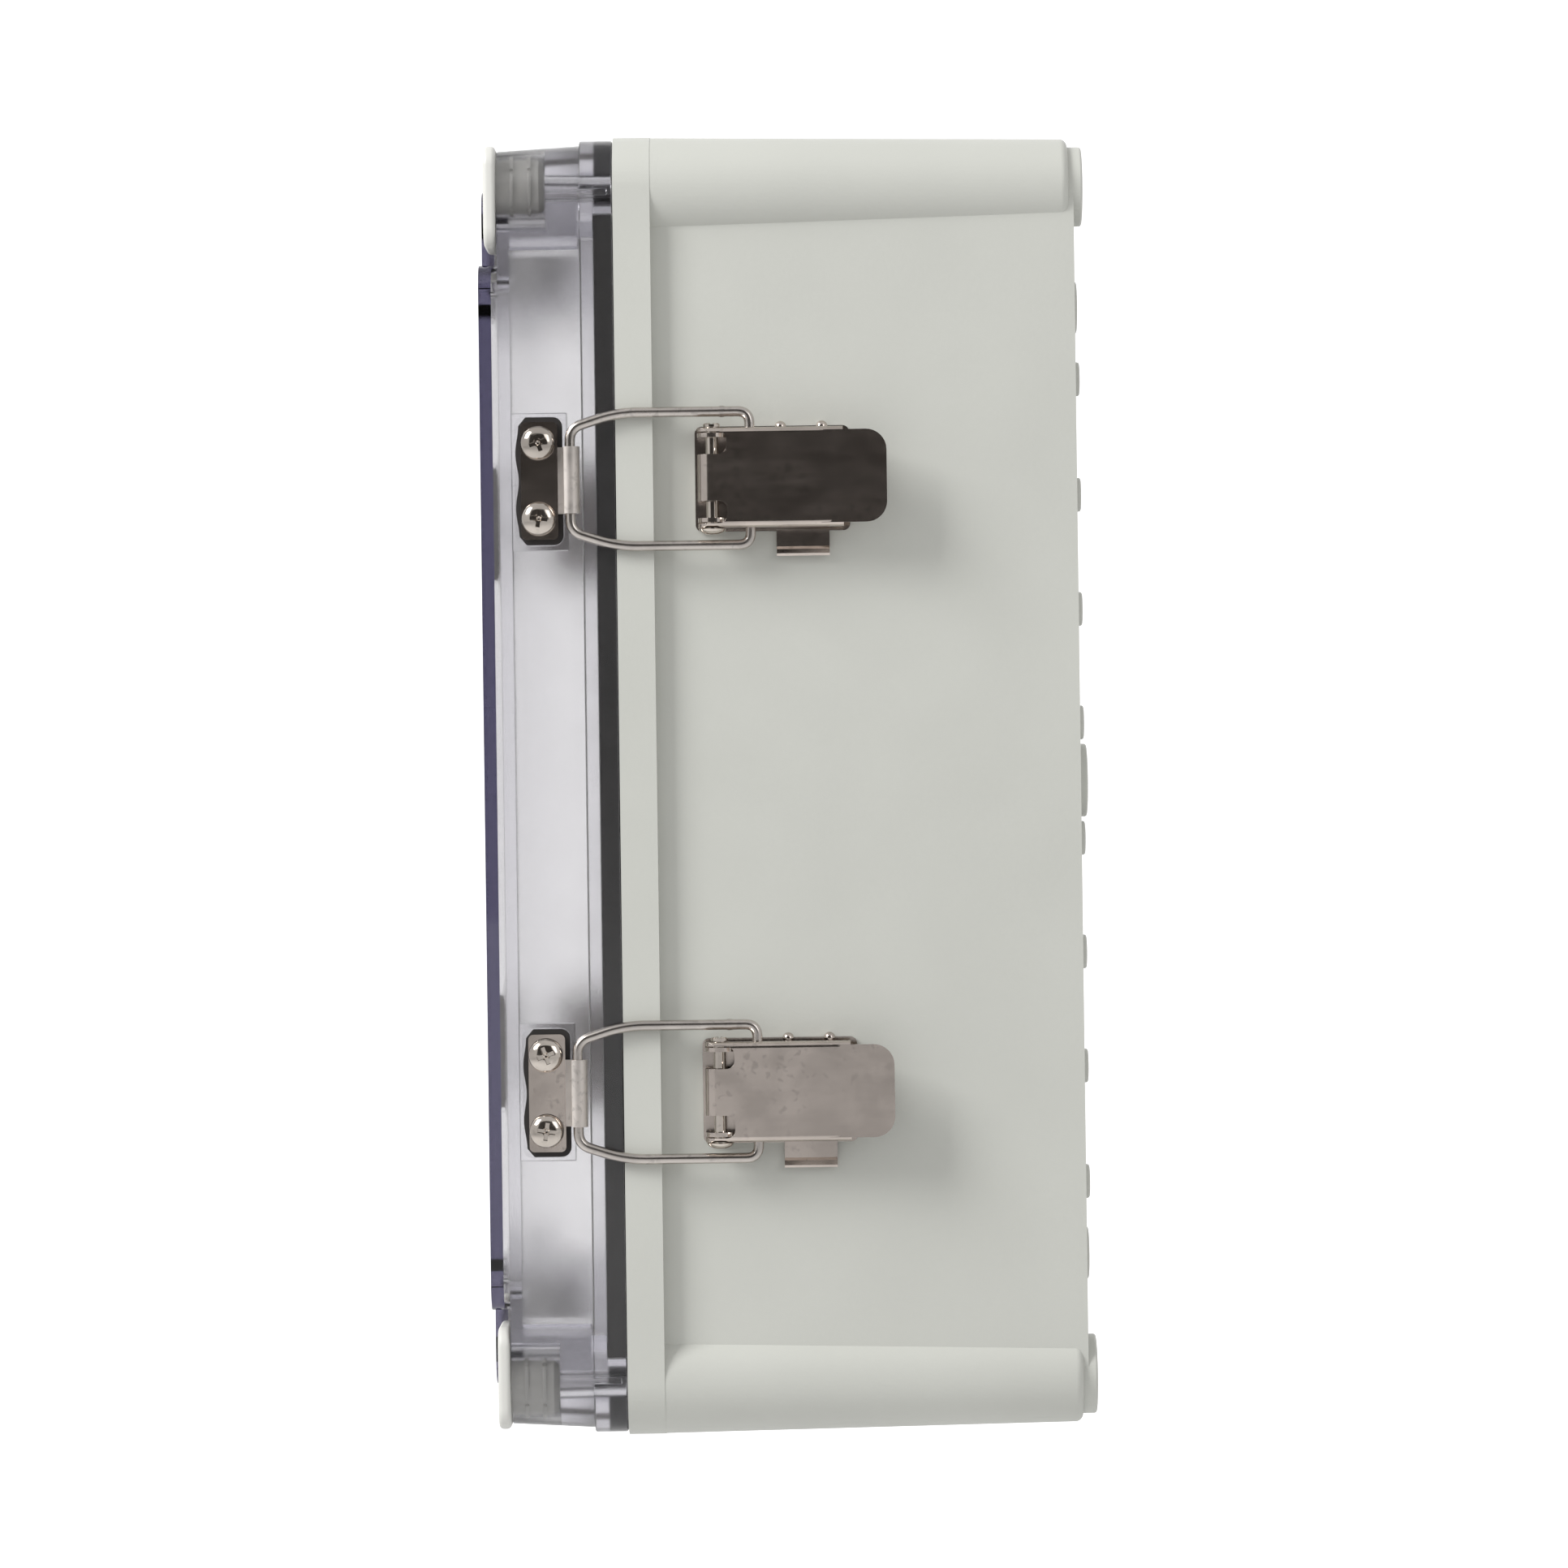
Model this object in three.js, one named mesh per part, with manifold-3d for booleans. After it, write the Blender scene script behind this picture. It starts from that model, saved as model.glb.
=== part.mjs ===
// Wall-mounted dc combiner box: plastic base, clear hinged lid with two toggle latches, and the
// string fuses, breaker and surge arrester on the plate inside.
// Frame, millimetres: origin on the wall plane at the centre of the back, X to the latch side,
// Y into the wall (the lid's front is at -Y), Z up.
import * as THREE from "three";
import { mergeVertices } from "three/addons/utils/BufferGeometryUtils.js";
import Module from "manifold-3d";

const wasm = await Module();
wasm.setup();

// ---------------------------------------------------------------- driving dimensions
const WIDTH = 280;
const HEIGHT = 380;
const BACK_WALL_Y = -2.7; // outer face of the back wall; feet reach Y = 0
const PARTING_Y = -137; // base meets lid
const RIM_BACK_Y = -126.2; // back edge of the thick front rim
const SHOULDER_Y = -171; // lid face round the raised panel
const FRONT_Y = -177; // raised panel face
const RIM_STEP = 4.8; // side walls stand back from the rim
const WALL = 3.4;
const CORNER_R = 16;
const PILLAR_X = WIDTH / 2 - CORNER_R;
const PILLAR_Z = HEIGHT / 2 - CORNER_R;
const PILLAR_BACK_R = CORNER_R - 2; // the corner pillars taper towards the wall
const SCREW_BORE_R = 3.2;
const GAP = 0.3; // clearance between touching pieces

const LID_HALF_X = 139.2;
const LID_HALF_Z = 189.2;
const LID_DRAFT = Math.tan(THREE.MathUtils.degToRad(3));
const LID_WALL = 3.7;
const LID_BACK_Y = PARTING_Y - GAP;
const PANEL_SIDE = { x: 127.7, z: 153.5 }; // the raised panel's outline has notched corners
const PANEL_END = { x: 103, z: 177.5 };
const PANEL_BEVEL = 2.6;
const LEDGE_FRONT_Y = -146.5; // ledge that carries the gasket
const CHANNEL_FLOOR_Y = -143;

const GASKET_HALF_X = 136;
const GASKET_HALF_Z = 186;
const GASKET_WIDTH = 3.8;
const GASKET_CORNER_R = 7.5; // the seal passes inside the corner screw at this radius
const LIP = 2.3; // inner wall of the gasket channel

const PLUG_HEAD = 30;
const PLUG_HEAD_CENTRE = { x: 122.3, z: 172.3 };
const PLUG_BODY_R = 11.25;
const PLUG_BODY_LENGTH = 14;

const HARDWARE_Z = [89, -89]; // latches and hinges, upper then lower
const SIDES = ["upper", "lower"];

const HINGE = { x: -145, y: -137, r: 3.1, pin: 1.6, halfLength: 19, split: 6.5 };

const PIVOT = { x: 143.5, y: -109, r: 1.75, ear: 4.2 };
const CROSSBAR = { x: 142, y: -98 };
const HOOK = { x: CROSSBAR.x, y: -150.2, inner: 1.8, sheet: 1 };
const WIRE_R = 1.5;
const LEVER = { half: 14.5, sheet: 1.2, top: 148, end: -58.4, flangeEnd: -71, handleHalf: 13.45 };
const KEEPER = { x: 139.2, front: -164.6, back: -153.9, half: 17.1, tabHalf: 9.7 };
const KEEPER_SCREW = { y: -159.5, z: 11, headR: 5 };

const PLATE_Y = -14;
const PLATE_SHEET = 2;
const STANDOFF = { x: 100, z: 135 };
const RAIL_Z = [60, -60];
const RAIL_BACK_Y = PLATE_Y - PLATE_SHEET - GAP;
const RAIL_FRONT_Y = RAIL_BACK_Y - 7.5;
const POLE_PITCH = 18;
const FUSE_X = [-90, -72, -54, -36];
const FUSE_PIVOT = { y: -74, z: -20 };
const FUSE_SWING = 47; // radius the fuse drawer sweeps about its pivot
const BREAKER = { x: -72, pivotY: -72 };
const SPD_X = [-9, 9];
const TERMINAL_Y = -48;

const CORNERS = [[1, 1], [1, -1], [-1, -1], [-1, 1]];

// ---------------------------------------------------------------- shape helpers
function signedVolume(position, index) {
  const a = new THREE.Vector3();
  const b = new THREE.Vector3();
  const c = new THREE.Vector3();
  let total = 0;
  for (let i = 0; i < index.length; i += 3) {
    a.fromArray(position, index[i] * 3);
    b.fromArray(position, index[i + 1] * 3);
    c.fromArray(position, index[i + 2] * 3);
    total += a.dot(b.cross(c)) / 6;
  }
  return total;
}

// three.js geometry -> closed solid, facing out
function solid(geometry) {
  geometry.deleteAttribute("normal");
  geometry.deleteAttribute("uv");
  const merged = mergeVertices(geometry, 1e-4);
  const position = merged.attributes.position.array;
  const corners = [];
  for (let i = 0; i < merged.index.count; i += 3) {
    const [a, b, c] = [0, 1, 2].map((k) => merged.index.getX(i + k));
    if (a !== b && b !== c && c !== a) corners.push(a, b, c);
  }
  if (signedVolume(position, corners) < 0) {
    for (let i = 0; i < corners.length; i += 3) {
      [corners[i], corners[i + 1]] = [corners[i + 1], corners[i]];
    }
  }
  const mesh = new wasm.Mesh({
    numProp: 3,
    vertProperties: new Float32Array(position),
    triVerts: new Uint32Array(corners),
  });
  return new wasm.Manifold(mesh);
}

function extruded(shape, depth, bevel, curveSegments) {
  const geometry = new THREE.ExtrudeGeometry(shape, {
    depth: depth - 2 * bevel,
    curveSegments,
    bevelEnabled: bevel > 0,
    bevelThickness: bevel,
    bevelSize: bevel,
    bevelOffset: -bevel,
    bevelSegments: 1,
  });
  return geometry.translate(0, 0, bevel);
}

const BASIS = {
  x: [new THREE.Vector3(0, 1, 0), new THREE.Vector3(0, 0, 1), new THREE.Vector3(1, 0, 0)],
  y: [new THREE.Vector3(1, 0, 0), new THREE.Vector3(0, 0, 1), new THREE.Vector3(0, -1, 0)],
  z: [new THREE.Vector3(1, 0, 0), new THREE.Vector3(0, 1, 0), new THREE.Vector3(0, 0, 1)],
};

// A shape drawn in the plane across one axis (YZ, XZ or XY), from low to high along that axis.
function prismGeometry(axis, shape, low, high, bevel = 0, curveSegments = 3) {
  const geometry = extruded(shape, high - low, bevel, curveSegments);
  geometry.applyMatrix4(new THREE.Matrix4().makeBasis(...BASIS[axis]));
  const start = axis === "y" ? high : low;
  return geometry.translate(axis === "x" ? start : 0, axis === "y" ? start : 0, axis === "z" ? start : 0);
}

const prism = (axis, shape, low, high, bevel, segments) =>
  solid(prismGeometry(axis, shape, low, high, bevel, segments));

// Profile of [radius, height] points turned about an axis through the given centre.
function turned(axis, profile, centre, segments = 16) {
  const points = profile.map(([r, h]) => new THREE.Vector2(Math.max(r, 0), h));
  const geometry = new THREE.LatheGeometry(points, segments);
  if (axis === "x") geometry.rotateZ(-Math.PI / 2);
  if (axis === "z") geometry.rotateX(Math.PI / 2);
  return solid(geometry.translate(...centre));
}

const rod = (axis, r, low, high, centre, segments) =>
  turned(axis, [[0, low], [r, low], [r, high], [0, high]], centre, segments);

function block(x, y, z) {
  const geometry = new THREE.BoxGeometry(x[1] - x[0], y[1] - y[0], z[1] - z[0]);
  return solid(geometry.translate((x[0] + x[1]) / 2, (y[0] + y[1]) / 2, (z[0] + z[1]) / 2));
}

function roundedRect(width, height, r, cx = 0, cy = 0) {
  const [x0, x1] = [cx - width / 2, cx + width / 2];
  const [y0, y1] = [cy - height / 2, cy + height / 2];
  const shape = new THREE.Shape();
  shape.moveTo(x0 + r, y0);
  shape.lineTo(x1 - r, y0);
  shape.absarc(x1 - r, y0 + r, r, -Math.PI / 2, 0);
  shape.lineTo(x1, y1 - r);
  shape.absarc(x1 - r, y1 - r, r, 0, Math.PI / 2);
  shape.lineTo(x0 + r, y1);
  shape.absarc(x0 + r, y1 - r, r, Math.PI / 2, Math.PI);
  shape.lineTo(x0, y0 + r);
  shape.absarc(x0 + r, y0 + r, r, Math.PI, 1.5 * Math.PI);
  return shape;
}

const polygon = (points) => new THREE.Shape(points.map(([x, y]) => new THREE.Vector2(x, y)));
const union = (parts) => parts.reduce((sum, part) => sum.add(part));
const without = (body, cuts) => cuts.reduce((rest, cut) => rest.subtract(cut), body);

// Narrows an upright outline evenly towards the front, as a moulding's draft does.
function drafted(geometry, fromY, slope) {
  const position = geometry.attributes.position;
  for (let i = 0; i < position.count; i += 1) {
    const inset = slope * (fromY - position.getY(i));
    position.setX(i, position.getX(i) - Math.sign(position.getX(i)) * inset);
    position.setZ(i, position.getZ(i) - Math.sign(position.getZ(i)) * inset);
  }
  return geometry;
}

// Round wire or cable along a path, closed or with flat ends.
function swept(path, r, steps, sides) {
  const shape = new THREE.Shape();
  for (let i = 0; i < sides; i += 1) {
    const turn = (2 * Math.PI * i) / sides;
    const point = [r * Math.cos(turn), r * Math.sin(turn)];
    if (i === 0) shape.moveTo(...point);
    else shape.lineTo(...point);
  }
  return new THREE.ExtrudeGeometry(shape, { extrudePath: path, steps, bevelEnabled: false });
}

// ---------------------------------------------------------------- base
function enclosureBase() {
  const rim = prism("y", roundedRect(WIDTH, HEIGHT, CORNER_R), PARTING_Y, RIM_BACK_Y, 0, 5);
  const wallX = WIDTH - 2 * RIM_STEP;
  const wallZ = HEIGHT - 2 * RIM_STEP;
  const walls = prism("y", roundedRect(wallX, wallZ, CORNER_R - RIM_STEP), PARTING_Y, BACK_WALL_Y);
  const pillars = CORNERS.map(([sx, sz]) => {
    const profile = [
      [0, PARTING_Y], [CORNER_R, PARTING_Y], [PILLAR_BACK_R, -5.6], [PILLAR_BACK_R - 1.2, -4.1],
      [11.6, -4.1], [11.6, 0], [0, 0],
    ];
    return turned("y", profile, [sx * PILLAR_X, 0, sz * PILLAR_Z], 20);
  });
  const columns = CORNERS.map(([sx, sz]) =>
    rod("y", CORNER_R, PARTING_Y - 2, 2, [sx * PILLAR_X, 0, sz * PILLAR_Z], 20));
  const inner = roundedRect(wallX - 2 * WALL, wallZ - 2 * WALL, CORNER_R - RIM_STEP - WALL);
  const hollow = without(prism("y", inner, PARTING_Y - 1, BACK_WALL_Y - WALL), columns);
  const bores = CORNERS.map(([sx, sz]) =>
    rod("y", SCREW_BORE_R, PARTING_Y - 1, 1, [sx * PILLAR_X, 0, sz * PILLAR_Z], 12));

  const standoffs = CORNERS.map(([sx, sz]) =>
    rod("y", 6, PLATE_Y + GAP, BACK_WALL_Y - 1, [sx * STANDOFF.x, 0, sz * STANDOFF.z], 12));
  const threads = CORNERS.map(([sx, sz]) =>
    rod("y", 2.3, PLATE_Y - 1, -5, [sx * STANDOFF.x, 0, sz * STANDOFF.z], 8));
  return without(union([rim, walls, ...pillars]), [hollow])
    .add(union([...standoffs, ...backPads()]))
    .subtract(union([...bores, ...threads]));
}

// Low pads moulded on the back, along both long edges and at the centre.
function backPads() {
  const pads = [0, 112, -112].map((x) => turned("y", padProfile(10.75, 0), [x, 0, 0], 14));
  for (const x of [118, -118]) {
    for (const z of [17, 50.4, 84, 118]) {
      for (const side of [1, -1]) pads.push(turned("y", padProfile(5, -0.9), [x, 0, side * z], 8));
    }
  }
  for (const [sx, sz] of CORNERS) {
    pads.push(turned("y", padProfile(7.75, -0.9), [sx * 106, 0, sz * 140], 12));
  }
  return pads;
}

const padProfile = (r, top) => [[0, BACK_WALL_Y - 1], [r, BACK_WALL_Y - 1], [r - 0.4, top], [0, top]];

// ---------------------------------------------------------------- lid and its seal
// Everything inside the seal line, moved out by "grow"; the line steps inside each corner screw.
function sealArea(grow, low, high) {
  const halfX = GASKET_HALF_X + grow;
  const halfZ = GASKET_HALF_Z + grow;
  const r = GASKET_CORNER_R - grow;
  const cuts = CORNERS.flatMap(([sx, sz]) => {
    const reach = (from, sign) => [sign * from, sign * (from + 60)].sort((a, b) => a - b);
    const depth = [low - 1, high + 1];
    return [
      block(reach(PILLAR_X, sx), depth, reach(PILLAR_Z - r, sz)),
      block(reach(PILLAR_X - r, sx), depth, reach(PILLAR_Z, sz)),
      rod("y", r, ...depth, [sx * PILLAR_X, 0, sz * PILLAR_Z], 20),
    ];
  });
  return without(prism("y", roundedRect(2 * halfX, 2 * halfZ, 3), low, high), cuts);
}

function panelPrism(inset, low, high, bevel) {
  const across = roundedRect(2 * (PANEL_SIDE.x - inset), 2 * (PANEL_SIDE.z - inset), 8 - inset / 2);
  const along = roundedRect(2 * (PANEL_END.x - inset), 2 * (PANEL_END.z - inset), 8 - inset / 2);
  return prism("y", across, low, high, bevel).add(prism("y", along, low, high, bevel));
}

function lidShell() {
  const outer = roundedRect(2 * LID_HALF_X, 2 * LID_HALF_Z, CORNER_R - 0.8);
  const upright = prismGeometry("y", outer, SHOULDER_Y, LID_BACK_Y, 0, 5);
  const skirt = solid(drafted(upright, LID_BACK_Y, LID_DRAFT));
  const panel = panelPrism(0, FRONT_Y, SHOULDER_Y + 4, PANEL_BEVEL);

  const insideX = 2 * (LID_HALF_X - LID_WALL);
  const insideZ = 2 * (LID_HALF_Z - LID_WALL);
  const inside = prismGeometry("y", roundedRect(insideX, insideZ, 10), SHOULDER_Y + 3.5, LEDGE_FRONT_Y);
  const cornerBlocks = CORNERS.map(([sx, sz]) =>
    prism("y", roundedRect(60, 60, 6, sx * (106.5 + 30), sz * (156.5 + 30)), SHOULDER_Y, PARTING_Y));
  const room = solid(drafted(inside, LID_BACK_Y, LID_DRAFT));
  const hollow = without(room, [...cornerBlocks, ...screwBosses()]);
  const panelHollow = panelPrism(3.6, FRONT_Y + 3.6, SHOULDER_Y + 4, 1.2);
  const mouth = sealArea(-GASKET_WIDTH - GAP - LIP, LEDGE_FRONT_Y - 1, PARTING_Y + 1);
  const channel = sealArea(GAP, CHANNEL_FLOOR_Y, PARTING_Y + 1)
    .subtract(sealArea(-GASKET_WIDTH - GAP, CHANNEL_FLOOR_Y - 1, PARTING_Y + 2));

  const plugEnd = SHOULDER_Y + PLUG_BODY_LENGTH + GAP;
  const plugBores = CORNERS.flatMap(([sx, sz]) => [
    rod("y", PLUG_BODY_R + GAP, SHOULDER_Y - 1, plugEnd, [sx * PILLAR_X, 0, sz * PILLAR_Z], 20),
    rod("y", SCREW_BORE_R, SHOULDER_Y, PARTING_Y, [sx * PILLAR_X, 0, sz * PILLAR_Z], 12),
  ]);
  const cuts = [hollow, panelHollow, mouth, channel, ...plugBores, ...keeperPockets()];
  return without(skirt.add(panel), cuts);
}

const POCKET = { floor: 136.6, y: -159.35, length: 14.3, width: 37.8 };

// Blocks inside the skirt that the keeper and hinge screws bite into.
function screwBosses() {
  return HARDWARE_Z.flatMap((zc) => [1, -1].map((side) => {
    const x = [side * 128.5, side * LID_HALF_X].sort((a, b) => a - b);
    return block(x, [POCKET.y - 8, POCKET.y + 8], [zc - 20, zc + 20]);
  }));
}

function keeperPockets() {
  return HARDWARE_Z.flatMap((zc) => {
    const outline = roundedRect(POCKET.length, POCKET.width, 3, POCKET.y, zc);
    const pilots = [1, -1].map((side) =>
      rod("x", 2.1, 129.7, 140, [0, KEEPER_SCREW.y, zc + side * KEEPER_SCREW.z], 12));
    return [prism("x", outline, POCKET.floor, 141), ...pilots];
  });
}

function lidGasket() {
  const back = PARTING_Y - 0.1;
  return sealArea(0, CHANNEL_FLOOR_Y + 0.2, back)
    .subtract(sealArea(-GASKET_WIDTH, CHANNEL_FLOOR_Y - 1, back + 1));
}

function cornerPlug([sx, sz]) {
  const top = SHOULDER_Y - 0.2;
  const { x, z } = PLUG_HEAD_CENTRE;
  const head = prism("y", roundedRect(PLUG_HEAD, PLUG_HEAD, 6, sx * x, sz * z), top - 3.6, top, 1.1);
  const end = SHOULDER_Y + PLUG_BODY_LENGTH;
  const r = PLUG_BODY_R - 0.25;
  const bodyProfile = [[0, top - 1], [r, top - 1], [r, end - 1.6], [r - 1.6, end], [0, end]];
  const axis = [sx * PILLAR_X, 0, sz * PILLAR_Z];
  const rings = [4.5, 9.7].map((depth) =>
    rod("y", PLUG_BODY_R, SHOULDER_Y + depth - 0.4, SHOULDER_Y + depth + 0.4, axis, 20));
  return union([head, turned("y", bodyProfile, axis, 20), ...rings]);
}

// ---------------------------------------------------------------- hinges, on the -X side
function hingeParts(zc) {
  const { x, y, r, pin, halfLength, split } = HINGE;
  const knuckle = (z0, z1) => rod("z", r, zc + z0, zc + z1, [x, y, 0], 14);
  const bore = rod("z", pin + 0.06, zc - 40, zc + 40, [x, y, 0], 14);
  const web = (yRange, z0, z1) => block([x + 1, -140.3], yRange, [zc + z0, zc + z1]);

  const length = [zc - halfLength, zc + halfLength];
  const baseSheet = block([-142, -140.3], [y + 0.4, -106], length);
  const baseFoot = block([-142, -WIDTH / 2 + RIM_STEP - GAP], [RIM_BACK_Y + GAP, -106], length);
  const ends = [[split, halfLength], [-halfLength, -split]];
  const baseKnuckles = ends.flatMap(([z0, z1]) => [knuckle(z0, z1), web([y + 0.4, y + 2.9], z0, z1)]);
  const screws = (xFace, yc) => [12, -12].map((dz) =>
    turned("x", [[0, -1.1], [2.6, -0.9], [3.6, 0], [3.6, 1], [0, 1]], [xFace, yc, zc + dz], 12));
  const inner = split - GAP;
  const clearMiddle = rod("z", r + GAP, zc - split, zc + split, [x, y, 0], 20);
  const baseLeaf = union([baseSheet, baseFoot, ...baseKnuckles]).subtract(bore.add(clearMiddle))
    .add(union(screws(-142, -116)));

  const lidSheet = block([-141.4, -139.9], [-166, y - 0.6], length);
  const clearEnds = ends.map(([z0, z1]) =>
    rod("z", r + GAP, zc + z0 - GAP, zc + z1 + GAP, [x, y, 0], 14));
  const lidLeaf = union([lidSheet, knuckle(-inner, inner), web([y - 2.9, y - 0.6], -inner, inner)])
    .subtract(union([bore, ...clearEnds]))
    .add(union(screws(-141.4, -158)));

  const reach = halfLength + 0.8;
  const pinProfile = [
    [0, -reach - 1], [pin + 0.9, -reach - 0.5], [pin + 0.9, 0.3 - reach], [pin, 0.3 - reach],
    [pin, reach - 0.3], [pin + 0.9, reach - 0.3], [pin + 0.9, reach + 0.5], [0, reach + 1],
  ];
  return { baseLeaf, lidLeaf, pinPart: turned("z", pinProfile, [x, y, zc], 14) };
}

// ---------------------------------------------------------------- toggle latches, on the +X side
// Upright sheet-metal ear: round at the pivot, foot on the base sheet.
function pivotEar(zLow, zHigh) {
  const { x, y, ear } = PIVOT;
  const foot = polygon([[135.8, y - ear], [x, y - ear], [x, y + ear], [135.8, y + 6]]);
  return prism("z", foot, zLow, zHigh).add(rod("z", ear, zLow, zHigh, [x, y, 0], 14));
}

function pivotBore(r, zc) {
  return rod("z", r, zc - 30, zc + 30, [PIVOT.x, PIVOT.y, 0], 14);
}

function latchBasePlate(zc) {
  const sheet = prism("x", roundedRect(45, 30.6, 2, -91.5, zc), 135.5, 136.7);
  const ears = [[11.7, 12.9], [-12.9, -11.7]].map(([z0, z1]) => pivotEar(zc + z0, zc + z1));
  const dimples = [-89, -77].map((y) => {
    const dome = new THREE.SphereGeometry(1.7, 10, 6).translate(137, y, zc + 15);
    return solid(dome);
  });
  const tab = block([135.5, 136.7], [-90.5, -75.1], [zc - 22.6, zc - 14]);
  const lip = block([135.5, 138.6], [-90.5, -75.1], [zc - 23.6, zc - 22.4]);
  return union([sheet, ...ears, ...dimples, tab, lip]).subtract(pivotBore(PIVOT.r + 0.06, zc));
}

function latchPivot(zc) {
  const { r } = PIVOT;
  const inner = LEVER.half + GAP;
  const profile = [
    [0, -inner - 1.7], [2.4, -inner - 1.5], [3.8, -inner - 0.8], [4, -inner], [r, -inner],
    [r, inner], [2.5, inner], [2.5, inner + 0.8], [1.6, inner + 1.2], [0, inner + 1.2],
  ];
  return turned("z", profile, [PIVOT.x, PIVOT.y, zc], 14);
}

function latchLever(zc) {
  const { half, sheet, top, end, flangeEnd, handleHalf } = LEVER;
  const low = PIVOT.y - PIVOT.ear;
  const channel = prism("y", roundedRect(40, 2 * half, 1.8, top - 20, zc), low, flangeEnd);
  const insideShape = roundedRect(40, 2 * (half - sheet), 0.8, top - sheet - 20, zc);
  const [noseLow, noseHigh] = [zc - half + sheet, zc + half - sheet];
  const nose = rod("z", top - PIVOT.x - sheet, noseLow, noseHigh, [PIVOT.x, PIVOT.y, 0], 20);
  const inside = prism("y", insideShape, PIVOT.y, flangeEnd + 1).add(nose);
  const belowFlanges = block([100, PIVOT.x - PIVOT.ear], [low - 1, flangeEnd + 1], [zc - 20, zc + 20]);
  const roundedNose = without(block([100, top + 1], [low - 1, PIVOT.y], [zc - 20, zc + 20]), [
    rod("z", top - PIVOT.x, zc - 21, zc + 21, [PIVOT.x, PIVOT.y, 0], 20),
  ]);
  const notches = [1, -1].map((side) => {
    const z = [zc + side * 6.75, zc + side * (half - sheet)].sort((a, b) => a - b);
    return block([top - 30, top + 1], [low - 1, low + 8.5], z);
  });
  const handleShape = roundedRect(80, 2 * handleHalf, 6, end - 40, zc);
  const handle = prism("x", handleShape, top - sheet, top).intersect(
    block([top - 2, top + 1], [flangeEnd - 4, end + 1], [zc - 20, zc + 20]));
  const holes = [
    pivotBore(PIVOT.r + 0.06, zc),
    rod("z", WIRE_R + 0.15, zc - 30, zc + 30, [CROSSBAR.x, CROSSBAR.y, 0], 12),
  ];
  const slanted = prism("z", polygon([
    [PIVOT.x - PIVOT.ear - 1, -92], [PIVOT.x - PIVOT.ear - 1, flangeEnd + 1], [top - 3.4, flangeEnd + 1],
  ]), zc - 20, zc + 20);
  return without(channel, [inside, belowFlanges, roundedNose, ...notches, slanted]).add(handle)
    .subtract(union(holes));
}

// Closed ring of spring wire: straight bar in the keeper's hook, legs spreading to the lever.
// One half is swept and mirrored.
function latchBail(zc) {
  const bend = 3;
  const corners = [
    [HOOK.y, 0], [HOOK.y, 15], [-136.5, 19.4], [CROSSBAR.y, 19.4], [CROSSBAR.y, 0],
  ].map(([y, z]) => new THREE.Vector3(CROSSBAR.x, y, z));
  const path = new THREE.CurvePath();
  let from = corners[0];
  for (let i = 1; i < corners.length - 1; i += 1) {
    const enter = corners[i].clone().add(corners[i - 1].clone().sub(corners[i]).setLength(bend));
    const leave = corners[i].clone().add(corners[i + 1].clone().sub(corners[i]).setLength(bend));
    path.add(new THREE.LineCurve3(from, enter));
    path.add(new THREE.QuadraticBezierCurve3(enter, corners[i], leave));
    from = leave;
  }
  path.add(new THREE.LineCurve3(from, corners[corners.length - 1]));
  const half = solid(swept(path, WIRE_R, 24, 8));
  return half.add(half.mirror([0, 0, 1])).translate([0, 0, zc]);
}

function keeper(zc) {
  const { x, front, back, half, tabHalf } = KEEPER;
  const sheet = HOOK.sheet;
  const outline = roundedRect(back - front, 2 * half, 1.5, (front + back) / 2, zc);
  const plate = prism("x", outline, x, x + sheet);
  const tab = block([x, x + sheet], [back - 3, HOOK.y], [zc - tabHalf, zc + tabHalf]);
  const hook = prism("z", hookSection(HOOK.inner + sheet), zc - tabHalf, zc + tabHalf, 0, 10);
  const holes = [1, -1].map((side) =>
    rod("x", 2.3, x - 1, x + 2, [0, KEEPER_SCREW.y, zc + side * KEEPER_SCREW.z], 12));
  return without(union([plate, tab, hook]), holes);
}

// The hook's section: from the sheet, round the base side of the wire, and back over it.
function hookSection(outer) {
  const shape = new THREE.Shape();
  const [from, to] = [Math.PI, THREE.MathUtils.degToRad(-40)];
  shape.absarc(HOOK.x, HOOK.y, outer, from, to, true);
  shape.absarc(HOOK.x, HOOK.y, HOOK.inner, to, from, false);
  return shape;
}

function keeperPad(zc) {
  const outline = roundedRect(POCKET.length - 2 * GAP, POCKET.width - 2 * GAP, 2.7, POCKET.y, zc);
  const bites = [-11.5, -3.8, 3.8, 11.5].map((z) =>
    rod("x", 4.4, 130, 145, [0, POCKET.y - POCKET.length / 2 - 3.3, zc + z], 12));
  const holes = [1, -1].map((side) =>
    rod("x", 2.3, 130, 145, [0, KEEPER_SCREW.y, zc + side * KEEPER_SCREW.z], 12));
  return without(prism("x", outline, POCKET.floor + GAP, KEEPER.x - GAP), [...bites, ...holes]);
}

function panScrew(x, y, z, headR, shankR, shankEnd) {
  const shank = [[0, shankEnd], [shankR - 0.8, shankEnd], [shankR, shankEnd + 1.2], [shankR, x]];
  const dome = [[1, 0], [1, 0.7], [0.93, 1.5], [0.75, 2.3], [0.5, 2.85], [0.22, 3.1], [0, 3.15]];
  const profile = [...shank, ...dome.map(([share, h]) => [headR * share, x + h])];
  const recess = union([
    block([x + 1, x + 5], [y - 0.55, y + 0.55], [z - 2.3, z + 2.3]),
    block([x + 1, x + 5], [y - 2.3, y + 2.3], [z - 0.55, z + 0.55]),
  ]);
  return turned("x", profile, [0, y, z], 14).subtract(recess);
}

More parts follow.
